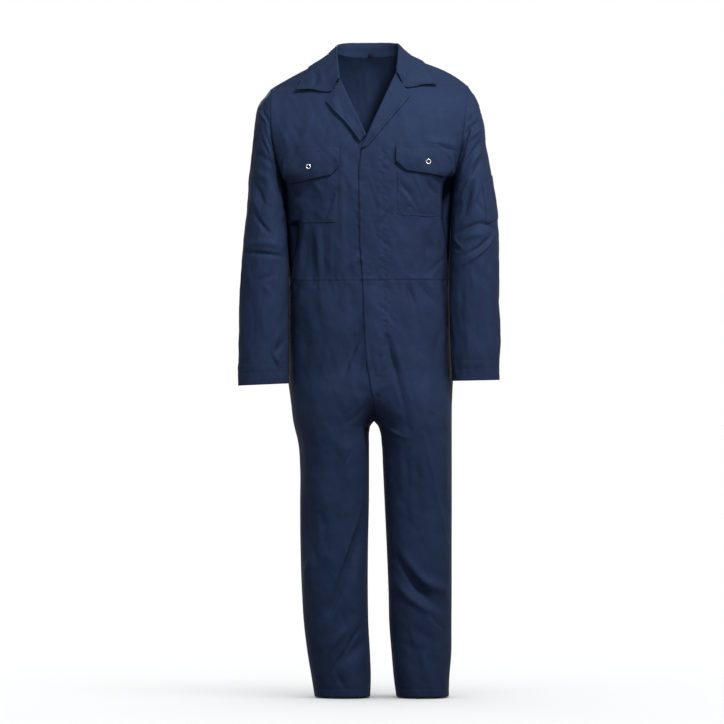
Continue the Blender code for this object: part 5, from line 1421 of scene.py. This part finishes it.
def pen_pocket_piece(grid):
    """The pen pocket on the left sleeve, from the sleeve's own points."""
    down, side = np.meshgrid(*(np.linspace(0, 1, count) for count in PEN_POCKET_GRID), indexing="ij")
    top, bottom = PEN_POCKET_RINGS
    rows = (top + (bottom - top) * down) * ROWS_A_RING
    # Columns run from the underarm by the back: the middle column is the outer side and the front comes after it.
    back, front = PEN_POCKET_TURN
    columns = ARMHOLE_ROWS * (1 + (back + (front - back) * side) / 180)
    base, out = (on_grid(values, rows, columns) for values in grid)
    inside = ease(np.minimum(np.minimum(side, 1 - side) / 0.12, np.minimum(1, (1 - down) / 0.12)))
    placed = base + out * (0.0008 + 0.0007 * inside)[..., None]
    return thick_shell("pen_pocket", placed, out, TRIM_THICKNESS), (placed, out)


def size_tab_piece():
    """A bare loop of tape in the back of the neck."""
    rows, columns = TAB_GRID
    down, across = np.meshgrid(np.linspace(0, 1, rows), np.linspace(-0.5, 0.5, columns), indexing="ij")
    width, thickness, height = TAB_SIZE
    y = TAB_Y - 0.0004 * np.sin(np.pi * down) - 0.0003 * np.cos(across * 3)
    points = np.stack((TAB_X + across * width, y, TAB_TOP - down * height), axis=-1)
    return thick_shell("bare_tab", points, np.broadcast_to((0.0, -1.0, 0.0), points.shape), thickness)


# ---- Stitches ----

STITCH_PITCH, STITCH_LENGTH, STITCH_RADIUS, STITCH_SIDES = 0.0031, 0.0023, 0.00022, 5
STITCH_LIFT = 0.0001
# A stitch's cross-sections: shares of its length along, and of its radius wide and high.
STITCH_RINGS = ((-0.5, 0.35, -0.9), (-0.30, 0.9, 0.35), (0.0, 1.0, 0.75), (0.30, 0.9, 0.35), (0.5, 0.35, -0.9))
# How far beside a seam its one or two sewn lines run, on the body and on the patches.
SEAM_INSETS, PATCH_INSETS = (0.0022, 0.0080), (0.002, 0.008)


def resampled(points, normals):
    """Middles, directions and outward ways of stitches evenly along a line of points."""
    lengths = lengths_along(np.linalg.norm(np.diff(points, axis=0), axis=-1))
    count = max(1, int(lengths[-1] / STITCH_PITCH))
    middles = (np.arange(count) + 0.5) * lengths[-1] / count

    def at(where, values):
        return np.stack([np.interp(where, lengths, column) for column in values.T], axis=-1)

    way = unit(at(middles + STITCH_PITCH / 3, points) - at(middles - STITCH_PITCH / 3, points))
    out = at(middles, normals)
    return at(middles, points), way, unit(out - way * np.sum(out * way, axis=-1, keepdims=True))


def stitches(name, runs):
    """One mesh of small rounded threads for several lines of points and outward directions."""
    turns = np.linspace(0, 2 * np.pi, STITCH_SIDES, endpoint=False)
    ring, side = np.divmod(np.arange((len(STITCH_RINGS) - 1) * STITCH_SIDES), STITCH_SIDES)
    here, beside = ring * STITCH_SIDES + side, ring * STITCH_SIDES + (side + 1) % STITCH_SIDES
    around = np.stack((here, beside, beside + STITCH_SIDES, here + STITCH_SIDES), axis=-1)
    corners, faces, count = [], [], 0
    for points, normals in runs:
        place, way, out = resampled(points, normals)
        across = np.cross(way, out)
        knots = []
        for along, wide, high in STITCH_RINGS:
            centre = place + way * (along * STITCH_LENGTH) + out * (high * STITCH_RADIUS)
            for turn in turns:
                knots.append(centre + (across * np.cos(turn) + out * np.sin(turn)) * STITCH_RADIUS * wide)
        corners.append(np.stack(knots, axis=1).reshape(-1, 3))
        first = count + np.arange(len(place)) * len(knots)
        faces.append((around[None] + first[:, None, None]).reshape(-1, 4))
        count += len(corners[-1])
    return made_mesh(name, np.concatenate(corners), np.concatenate(faces))


def body_run(line, face):
    """A sewn line on the body, from places (x, z)."""
    lengths = lengths_along(np.hypot(*np.diff(line, axis=0).T))
    fine = np.linspace(0, lengths[-1], max(8, int(lengths[-1] / 0.002)))
    x, z = (np.interp(fine, lengths, column) for column in line.T)
    return dressed(x, z, face, STITCH_LIFT)


def grid_run(grid, rows, columns, lift=STITCH_LIFT):
    """A sewn line on a grid, through places given by their rows and columns."""
    fine, places = np.linspace(0, 1, 160), np.linspace(0, 1, len(rows))
    rows, columns = np.interp(fine, places, rows), np.interp(fine, places, columns)
    points, out = (on_grid(values, rows, columns) for values in grid)
    return points + out * lift, out


def inset_run(grid, inset, sides="top right bottom left"):
    """Stitches along a patch's sides at a distance from its edges."""
    points, _ = grid
    rows, columns = points.shape[:2]
    wide = np.linalg.norm(points[rows // 2, -1] - points[rows // 2, 0])
    high = np.linalg.norm(points[-1, columns // 2] - points[0, columns // 2])
    left, top = inset / wide * (columns - 1), inset / high * (rows - 1)
    right, bottom = columns - 1 - left, rows - 1 - top
    ends = {
        "top": ((top, top), (left, right)),
        "right": ((top, bottom), (right, right)),
        "bottom": ((bottom, bottom), (right, left)),
        "left": ((bottom, top), (left, left)),
    }
    return [grid_run(grid, *ends[side], PATCH_THICKNESS / 2) for side in sides.split()]


def lapel_runs(grid):
    """Stitches beside a lapel's outer edge, as far down as it is wide enough, and along its top."""
    points, _ = grid
    width = np.linalg.norm(points[:, -1] - points[:, LAPEL_CURL_POINTS], axis=-1)
    length = np.linalg.norm(np.diff(points[:, -1], axis=0), axis=-1).sum()
    top = COLLAR_STITCH / length * (LAPEL_ROWS - 1)
    rows = np.linspace(top, np.flatnonzero(width > 2.5 * COLLAR_STITCH)[-1], 60)
    widths = np.interp(rows, np.arange(LAPEL_ROWS), width)
    columns = points.shape[1] - 1 - COLLAR_STITCH / widths * (LAPEL_POINTS - 1)
    return [
        grid_run(grid, rows, columns, TRIM_THICKNESS),
        grid_run(grid, (top, top), (LAPEL_CURL_POINTS + 1, columns[0]), TRIM_THICKNESS),
    ]


# ---- Materials ----

NAVY_CLOTH = (0.0034, 0.0055, 0.0130)
NAVY_TRIM = (0.0033, 0.0053, 0.0124)
THREAD = (0.0019, 0.0031, 0.0074)
TAPE_BLACK = (0.0020, 0.0021, 0.0024)
RING_METAL = (0.46, 0.47, 0.49)
# Near black: painted shade for the shadowed hollow inside each stud's ring.
SOCKET_PAINTED_SHADE = (0.004, 0.004, 0.005)
FLOOR_PALE = (0.86, 0.865, 0.87)
SHADE_RANGE = (0.36, 0.94)


class Nodes:
    """A short way to write a material's nodes."""

    def __init__(self, name):
        self.material = bpy.data.materials.new(name)
        self.material.use_nodes = True
        self.tree = self.material.node_tree
        self.surface = self.tree.nodes["Principled BSDF"].inputs
        self.space = self.add("TexCoord").outputs["Object"]

    def add(self, kind, settings=None, **inputs):
        """A new node. Its inputs' names are written with _ for a space."""
        node = self.tree.nodes.new("ShaderNode" + kind)
        for key, value in (settings or {}).items():
            setattr(node, key, value)
        for key, value in inputs.items():
            self.put(node.inputs[key.replace("_", " ")], value)
        return node

    def put(self, socket, value):
        if isinstance(value, bpy.types.NodeSocket):
            self.tree.links.new(value, socket)
        else:
            socket.default_value = value

    def math(self, operation, first, second):
        node = self.add("Math", {"operation": operation})
        self.put(node.inputs[0], first)
        self.put(node.inputs[1], second)
        return node.outputs[0]

    def total(self, *parts):
        """The sum of outputs, each times its weight."""
        weighed = [self.math("MULTIPLY", output, weight) for output, weight in parts]
        while len(weighed) > 1:
            weighed.append(self.math("ADD", weighed.pop(0), weighed.pop(0)))
        return weighed[0]

    def noise(self, where, scale, detail, **more):
        return self.add("TexNoise", Vector=where, Scale=scale, Detail=detail, **more).outputs["Fac"]

    def bands(self, where, direction, scale, distortion, **more):
        settings = {"wave_type": "BANDS", "bands_direction": direction, "wave_profile": "SIN"}
        return self.add("TexWave", settings, Vector=where, Scale=scale, Distortion=distortion, **more).outputs["Fac"]

    def stretched(self, where, scale):
        return self.add("Mapping", Vector=where, Scale=scale).outputs["Vector"]

    def ramp(self, factor, colour, low, high, start=0.0, end=1.0):
        """Shades of a colour from low to high times its strength."""
        node = self.add("ValToRGB", Fac=factor)
        for element, times, position in zip(node.color_ramp.elements, (low, high), (start, end)):
            element.position = position
            element.color = shaded(colour, times)
        return node.outputs["Color"]

    def mapped(self, value, low, high, **more):
        return self.add("MapRange", Value=value, To_Min=low, To_Max=high, **more).outputs["Result"]

    def bump(self, height, strength, distance, **more):
        return self.add("Bump", Height=height, Strength=strength, Distance=distance, **more).outputs["Normal"]

    def finish(self, **inputs):
        for key, value in inputs.items():
            self.put(self.surface[key.replace("_", " ")], value)
        return self.material


def shaded(colour, times):
    return (*[min(1.0, c * times) for c in colour], 1.0)


def cloth_material(name, colour, weave_strength=1.0):
    """A 2/1 twill: fine slanting ribs, uneven yarns, soft shade variation, and edges painted paler, partly as wear and
    partly as a painted highlight where light catches them.
    """
    made = Nodes(name)
    where = made.add("UVMap", {"uv_map": "Cloth"}).outputs["UV"]
    ribs = made.bands(where, "DIAGONAL", 560.0, 0.7, Detail=1.0, Detail_Scale=2.0)
    picks = made.bands(where, "Y", 930.0, 0.5, Detail=1.0, Detail_Scale=2.0)
    weave = made.total((ribs, 0.65), (picks, 0.35))
    warp = made.noise(made.stretched(where, (1.0, 0.06, 1.0)), 640.0, 3.0)
    weft = made.noise(made.stretched(where, (0.08, 1.0, 1.0)), 520.0, 3.0)
    cloud = made.noise(made.space, 9.0, 4.0)
    mottle = made.noise(made.space, 130.0, 5.0, Roughness=0.6)
    shade = made.total((cloud, 0.34), (mottle, 0.30), (warp, 0.26), (weft, 0.20), (weave, 0.22 * weave_strength))
    plain = made.ramp(shade, colour, 0.74, 1.34, *SHADE_RANGE)
    # Edges are painted paler: partly wear, partly a painted highlight where light would catch them.
    worn_and_lit_edges = made.add("Attribute", {"attribute_name": "wear_and_highlight"}).outputs["Fac"]
    wear_and_highlight_amount = made.math("MULTIPLY", worn_and_lit_edges, made.math("MULTIPLY", mottle, 0.18))
    mixed = made.add("Mix", {"data_type": "RGBA"}, Factor=wear_and_highlight_amount, A=plain, B=shaded(colour, 2.2))
    roughness = made.mapped(shade, 0.78, 0.60, From_Min=SHADE_RANGE[0], From_Max=SHADE_RANGE[1])
    threads = made.math("ADD", weave, made.math("MULTIPLY", warp, 0.6))
    fine = made.bump(threads, 0.35 * weave_strength, 0.00018)
    crease = made.noise(made.space, 46.0, 4.0, Distortion=0.6)
    return made.finish(
        Base_Color=mixed.outputs["Result"],
        Roughness=roughness,
        Normal=made.bump(crease, 0.30, 0.0016, Normal=fine),
        Specular_IOR_Level=0.05,
        Specular_Tint=(0.30, 0.48, 1.0, 1.0),
    )


def thread_material(name, colour):
    """Sewing thread: two fine plies that twist round each other, a little glossier than the cloth."""
    made = Nodes(name)
    plies = made.bands(made.space, "DIAGONAL", 900.0, 0.4)
    shade = made.total((plies, 0.5), (made.noise(made.space, 300.0, 2.0), 0.5))
    colours, bump = made.ramp(shade, colour, 0.7, 1.3), made.bump(plies, 0.5, 0.0001)
    return made.finish(Base_Color=colours, Normal=bump, Roughness=0.65, Specular_IOR_Level=0.06)


def metal_material(name, colour, metallic, rough_low, rough_high, gloss=0.5):
    """Pressed metal with fine scratches round it and small dull patches."""
    made = Nodes(name)
    dull = made.noise(made.space, 420.0, 4.0)
    scratch = made.noise(made.stretched(made.space, (1.0, 1.0, 14.0)), 900.0, 2.0)
    return made.finish(
        Base_Color=made.ramp(dull, colour, 0.72, 1.12),
        Roughness=made.mapped(dull, rough_low, rough_high),
        Normal=made.bump(scratch, 0.2, 0.00005),
        Metallic=metallic,
        Specular_IOR_Level=gloss,
    )


def floor_material():
    made = Nodes("studio_floor")
    pale = made.ramp(made.noise(made.space, 0.8, 2.0), FLOOR_PALE, 0.985, 1.0)
    return made.finish(Base_Color=pale, Roughness=0.9, Specular_IOR_Level=0.1)


# ---- Studio ----

FLOOR_HEIGHT = HEM_HEIGHT - 0.004
CAMERA_DISTANCE = 14.0
VIEW_CENTRE = (-0.0147, -0.060, -0.740)
VIEW_WIDTH = 1.774
WORLD_LIGHT = 1.0
SENSOR_WIDTH = 36.0
FLOOR_HALF = 60.0
WARM, NEAR_WHITE, COOL = (1.0, 0.985, 0.96), (1.0, 0.99, 0.97), (0.97, 0.98, 1.0)
# Name, place, target, size, power and colour of each lamp, and the group of pieces that it lights.
LAMPS = (
    ("key", (0.85, -1.75, 1.60), (0.02, -0.05, -0.42), 0.40, 300.0, WARM, "lit_cloth"),
    ("side", (2.0, -1.5, 0.5), (0.0, -0.05, -0.5), 0.60, 115.0, NEAR_WHITE, "lit_cloth"),
    ("fill", (-1.1, -3.2, 0.6), (0.0, 0.0, -0.6), 0.7, 80.0, COOL, "lit_cloth"),
    ("left", (-2.0, -1.6, 0.3), (0.0, -0.05, -0.4), 0.6, 22.0, (0.98, 0.99, 1.0), "lit_cloth"),
    ("neck", (0.30, -2.4, -0.06), (0.0, 0.10, -0.14), 0.4, 130.0, NEAR_WHITE, "lit_through_neck"),
    ("back", (-0.5, 2.9, 1.5), (0.0, 0.0, -0.6), 0.8, 290.0, COOL, "lit_from_behind"),
    ("back_low", (-0.4, 3.4, 0.5), (0.0, 0.0, -0.2), 0.9, 200.0, COOL, "lit_low_from_behind"),
)
LOW_LIT = ("front_left_cloth", "front_right_cloth", "collar_cloth")
# Strength and angle of the sun that lights the floor.
FLOOR_SUN = (0.62, 0.6)


def aimed(name, data, place, target):
    """A lamp or camera at a place, turned to its target."""
    holder = bpy.data.objects.new(name, data)
    bpy.context.scene.collection.objects.link(holder)
    holder.location = place
    way = Vector(target) - Vector(place)
    holder.rotation_euler = way.to_track_quat("-Z", "Y").to_euler()
    return holder


def lights_only(lamp, name, pieces):
    receivers = bpy.data.collections.get(name) or bpy.data.collections.new(name)
    if not receivers.objects:
        for piece in pieces:
            receivers.objects.link(piece)
    lamp.light_linking.receiver_collection = receivers


def studio(cloth_pieces):
    scene = bpy.context.scene
    scene.view_settings.view_transform = "Standard"
    scene.world = bpy.data.worlds.new("studio")
    scene.world.use_nodes = True
    background = scene.world.node_tree.nodes["Background"].inputs
    background["Color"].default_value = (1.0, 1.0, 1.0, 1.0)
    background["Strength"].default_value = WORLD_LIGHT
    camera = bpy.data.cameras.new("camera")
    camera.sensor_width = SENSOR_WIDTH
    camera.lens = SENSOR_WIDTH * CAMERA_DISTANCE / VIEW_WIDTH
    camera.clip_end = 200.0
    place = (VIEW_CENTRE[0], VIEW_CENTRE[1] - CAMERA_DISTANCE, VIEW_CENTRE[2])
    scene.camera = aimed("camera", camera, place, VIEW_CENTRE)
    corners = [(x * FLOOR_HALF, y * FLOOR_HALF, FLOOR_HEIGHT) for x, y in ((-1, -1), (1, -1), (1, 1), (-1, 1))]
    floor = made_mesh("studio_floor", corners, ((0, 1, 2, 3),))
    floor.data.materials.append(floor_material())
    groups = {
        "lit_cloth": cloth_pieces,
        "lit_through_neck": [piece for piece in cloth_pieces if piece.name == "back_cloth"],
        "lit_from_behind": [piece for piece in cloth_pieces if piece.name not in LOW_LIT],
        "lit_low_from_behind": [piece for piece in cloth_pieces if piece.name in LOW_LIT],
    }
    for name, place, target, size, power, colour, group in LAMPS:
        lamp = bpy.data.lights.new(name, "AREA")
        lamp.shape, lamp.size, lamp.energy, lamp.color = "DISK", size, power, colour
        lights_only(aimed(name, lamp, place, target), group, groups[group])
    sun = bpy.data.lights.new("floor_sun", "SUN")
    sun.energy, sun.angle = FLOOR_SUN
    lights_only(aimed("floor_sun", sun, (1.0, -1.5, 5.0), (0.0, 0.0, -1.5)), "lit_floor", [floor])


# ---- The whole suit ----

CLOTH_MATERIAL = cloth_material("navy_twill", NAVY_CLOTH)
TRIM_MATERIAL = cloth_material("navy_twill_doubled", NAVY_TRIM)
THREAD_MATERIAL = thread_material("navy_thread", THREAD)
TAPE_MATERIAL = cloth_material("black_tape", TAPE_BLACK, 0.6)
RING_MATERIAL = metal_material("pressed_ring", RING_METAL, 1.0, 0.18, 0.34)
# The socket's near-black colour and low gloss paint the shade of the ring's hollow.
SOCKET_SHADE_MATERIAL = metal_material("stud_socket_painted_shade", SOCKET_PAINTED_SHADE, 0.0, 0.60, 0.80, 0.05)


def finished(piece, material, slot, *nodes):
    piece.data.materials.append(material)
    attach(piece, "root")
    if nodes:
        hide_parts(*nodes)
    return piece


def body_stitches():
    """Sewn lines on the body, front and back."""
    front, back = [], []
    waist = waist_line()
    own_side = waist[(waist[:, 0] > -0.186) & (waist[:, 0] < 0.190)]
    for inset in SEAM_INSETS:
        front.append(body_run(own_side - (0, inset), FRONT))
        back.append(body_run(own_side - (0, inset), BACK))
    beside_crotch = CROTCH_SEAM + (SEAM_INSETS[0], 0)
    for line in (edge_line(LEFT_EDGE, *EDGE_SEWN, 0.0024), PLACKET_SEAM, FLY_SEAM, beside_crotch):
        front.append(body_run(line, FRONT))
    for side in (RIGHT, LEFT):
        for inset in SEAM_INSETS:
            beside_armhole = armhole_line(side, inset)[2:-2]
            front.append(body_run(beside_armhole, FRONT))
            back.append(body_run(beside_armhole, BACK))
            back.append(body_run(shoulder_line(side, inset)[1:-1], BACK))
        front.append(body_run(hem_line(side)[1:-1], FRONT))
        back.append(body_run(hem_line(side)[1:-1], BACK))
        front.append(body_run(inside_leg_line(side)[2:-1] + (TOWARDS[side] * SEAM_INSETS[0], 0), FRONT))
    for offset in (-0.0030, 0.0030):
        back.append(body_run(SEAT_SEAM[:-4] + (offset, 0), BACK))
    return front, back


def patch_stitches(grids):
    """Sewn lines on the pockets and flaps, and the line that divides the pen pocket."""
    runs = []
    for node, sides in (("chest_pocket_", "right bottom left"), ("pocket_flap_", "top right bottom left")):
        for hand in ("left", "right"):
            for inset in PATCH_INSETS:
                runs += inset_run(grids[node + hand], inset, sides)
    pen_grid = grids["sleeve_pocket"]
    runs += inset_run(pen_grid, PATCH_INSETS[0])
    last_row, last_column = (count - 1 for count in PEN_POCKET_GRID)
    runs.append(grid_run(pen_grid, (1, last_row - 1), (last_column / 2,) * 2, PATCH_THICKNESS / 2))
    return runs


def cuff_stitches(sleeves):
    runs = []
    for side in (RIGHT, LEFT):
        for ring in CUFF_STITCH_RINGS:
            runs.append(grid_run(sleeves[side], (ring * ROWS_A_RING,) * 2, (1, 2 * ARMHOLE_ROWS - 1)))
    return runs


def collar_stitches(grids):
    """Sewn lines beside the edges of the collar and the lapels."""
    last_row, last_column = COLLAR_COLUMNS - 1, COLLAR_ROWS - 1
    edge = last_column * (1 - COLLAR_STITCH / COLLAR_DEPTH)
    start = COLLAR_STITCH / HALF_COLLAR_LENGTH * last_row / 2
    end = last_row - start
    leaf = (last_column * 0.52, edge)
    ends = (((start, end), (edge, edge)), ((start, start), leaf), ((end, end), leaf))
    runs = [grid_run(grids["collar"], rows, columns, TRIM_THICKNESS) for rows, columns in ends]
    return runs + lapel_runs(grids["lapel_left"]) + lapel_runs(grids["lapel_right"])


def main():
    cloth, grids, sleeves = [], {}, {}
    shells = {
        "front_left": front_shell("front_left_cloth", LEFT, LEFT_EDGE),
        "front_right": front_shell("front_right_cloth", RIGHT, RIGHT_EDGE),
        "back": back_shell(),
        "trouser_front_left": trouser_shell("trouser_front_left_cloth", LEFT, FRONT, LEFT_EDGE),
        "trouser_front_right": trouser_shell("trouser_front_right_cloth", RIGHT, FRONT, RIGHT_EDGE),
        "trouser_back_left": trouser_shell("trouser_back_left_cloth", LEFT, BACK),
        "trouser_back_right": trouser_shell("trouser_back_right_cloth", RIGHT, BACK),
    }
    for name, side, table in (("sleeve_left", LEFT, LEFT_SLEEVE), ("sleeve_right", RIGHT, RIGHT_SLEEVE)):
        shells[name], sleeves[side] = sleeve_shell(name + "_cloth", side, table)
    for node, piece in shells.items():
        cloth.append(finished(piece, CLOTH_MATERIAL, "cloth", node))

    grids["collar"] = collar_points()
    grids["lapel_left"] = lapel_points(LEFT, LEFT_LAPEL, LEFT_EDGE)
    grids["lapel_right"] = lapel_points(RIGHT, RIGHT_LAPEL, RIGHT_EDGE)
    for node, grid in grids.items():
        cloth.append(finished(thick_shell(node + "_cloth", *grid, COLLAR_THICKNESS), TRIM_MATERIAL, "cloth", node))

    for node, outline, lift, size, seed, material in (
        ("chest_pocket_left", LEFT_POCKET, pocket_lift, POCKET_GRID, 81, CLOTH_MATERIAL),
        ("chest_pocket_right", RIGHT_POCKET, pocket_lift, POCKET_GRID, 83, CLOTH_MATERIAL),
        ("pocket_flap_left", LEFT_FLAP, flap_lift(LEFT), FLAP_GRID, 85, TRIM_MATERIAL),
        ("pocket_flap_right", RIGHT_FLAP, flap_lift(RIGHT), FLAP_GRID, 87, TRIM_MATERIAL),
    ):
        piece, grids[node] = chest_piece(node + "_cloth", outline, lift, *size, seed)
        cloth.append(finished(piece, material, "cloth", node))
    pen_piece, grids["sleeve_pocket"] = pen_pocket_piece(sleeves[LEFT])
    cloth.append(finished(pen_piece, TRIM_MATERIAL, "cloth", "sleeve_pocket"))

    for side, hand in ((RIGHT, "right"), (LEFT, "left")):
        ring, cup = stud_pieces("stud_ring_" + hand, grids["pocket_flap_" + hand], STUD_PLACES[side])
        cloth.append(finished(ring, RING_MATERIAL, "stud", "stud_" + hand))
        cloth.append(finished(cup, SOCKET_SHADE_MATERIAL, "stud"))
    cloth.append(finished(size_tab_piece(), TAPE_MATERIAL, "tab", "size_tab"))

    front_runs, back_runs = body_stitches()
    for name, runs in (
        ("stitches_front", front_runs),
        ("stitches_back", back_runs),
        ("stitches_pockets", patch_stitches(grids)),
        ("stitches_cuffs", cuff_stitches(sleeves)),
        ("stitches_collar", collar_stitches(grids)),
    ):
        cloth.append(finished(stitches(name, runs), THREAD_MATERIAL, "cloth"))
    studio(cloth)


main()
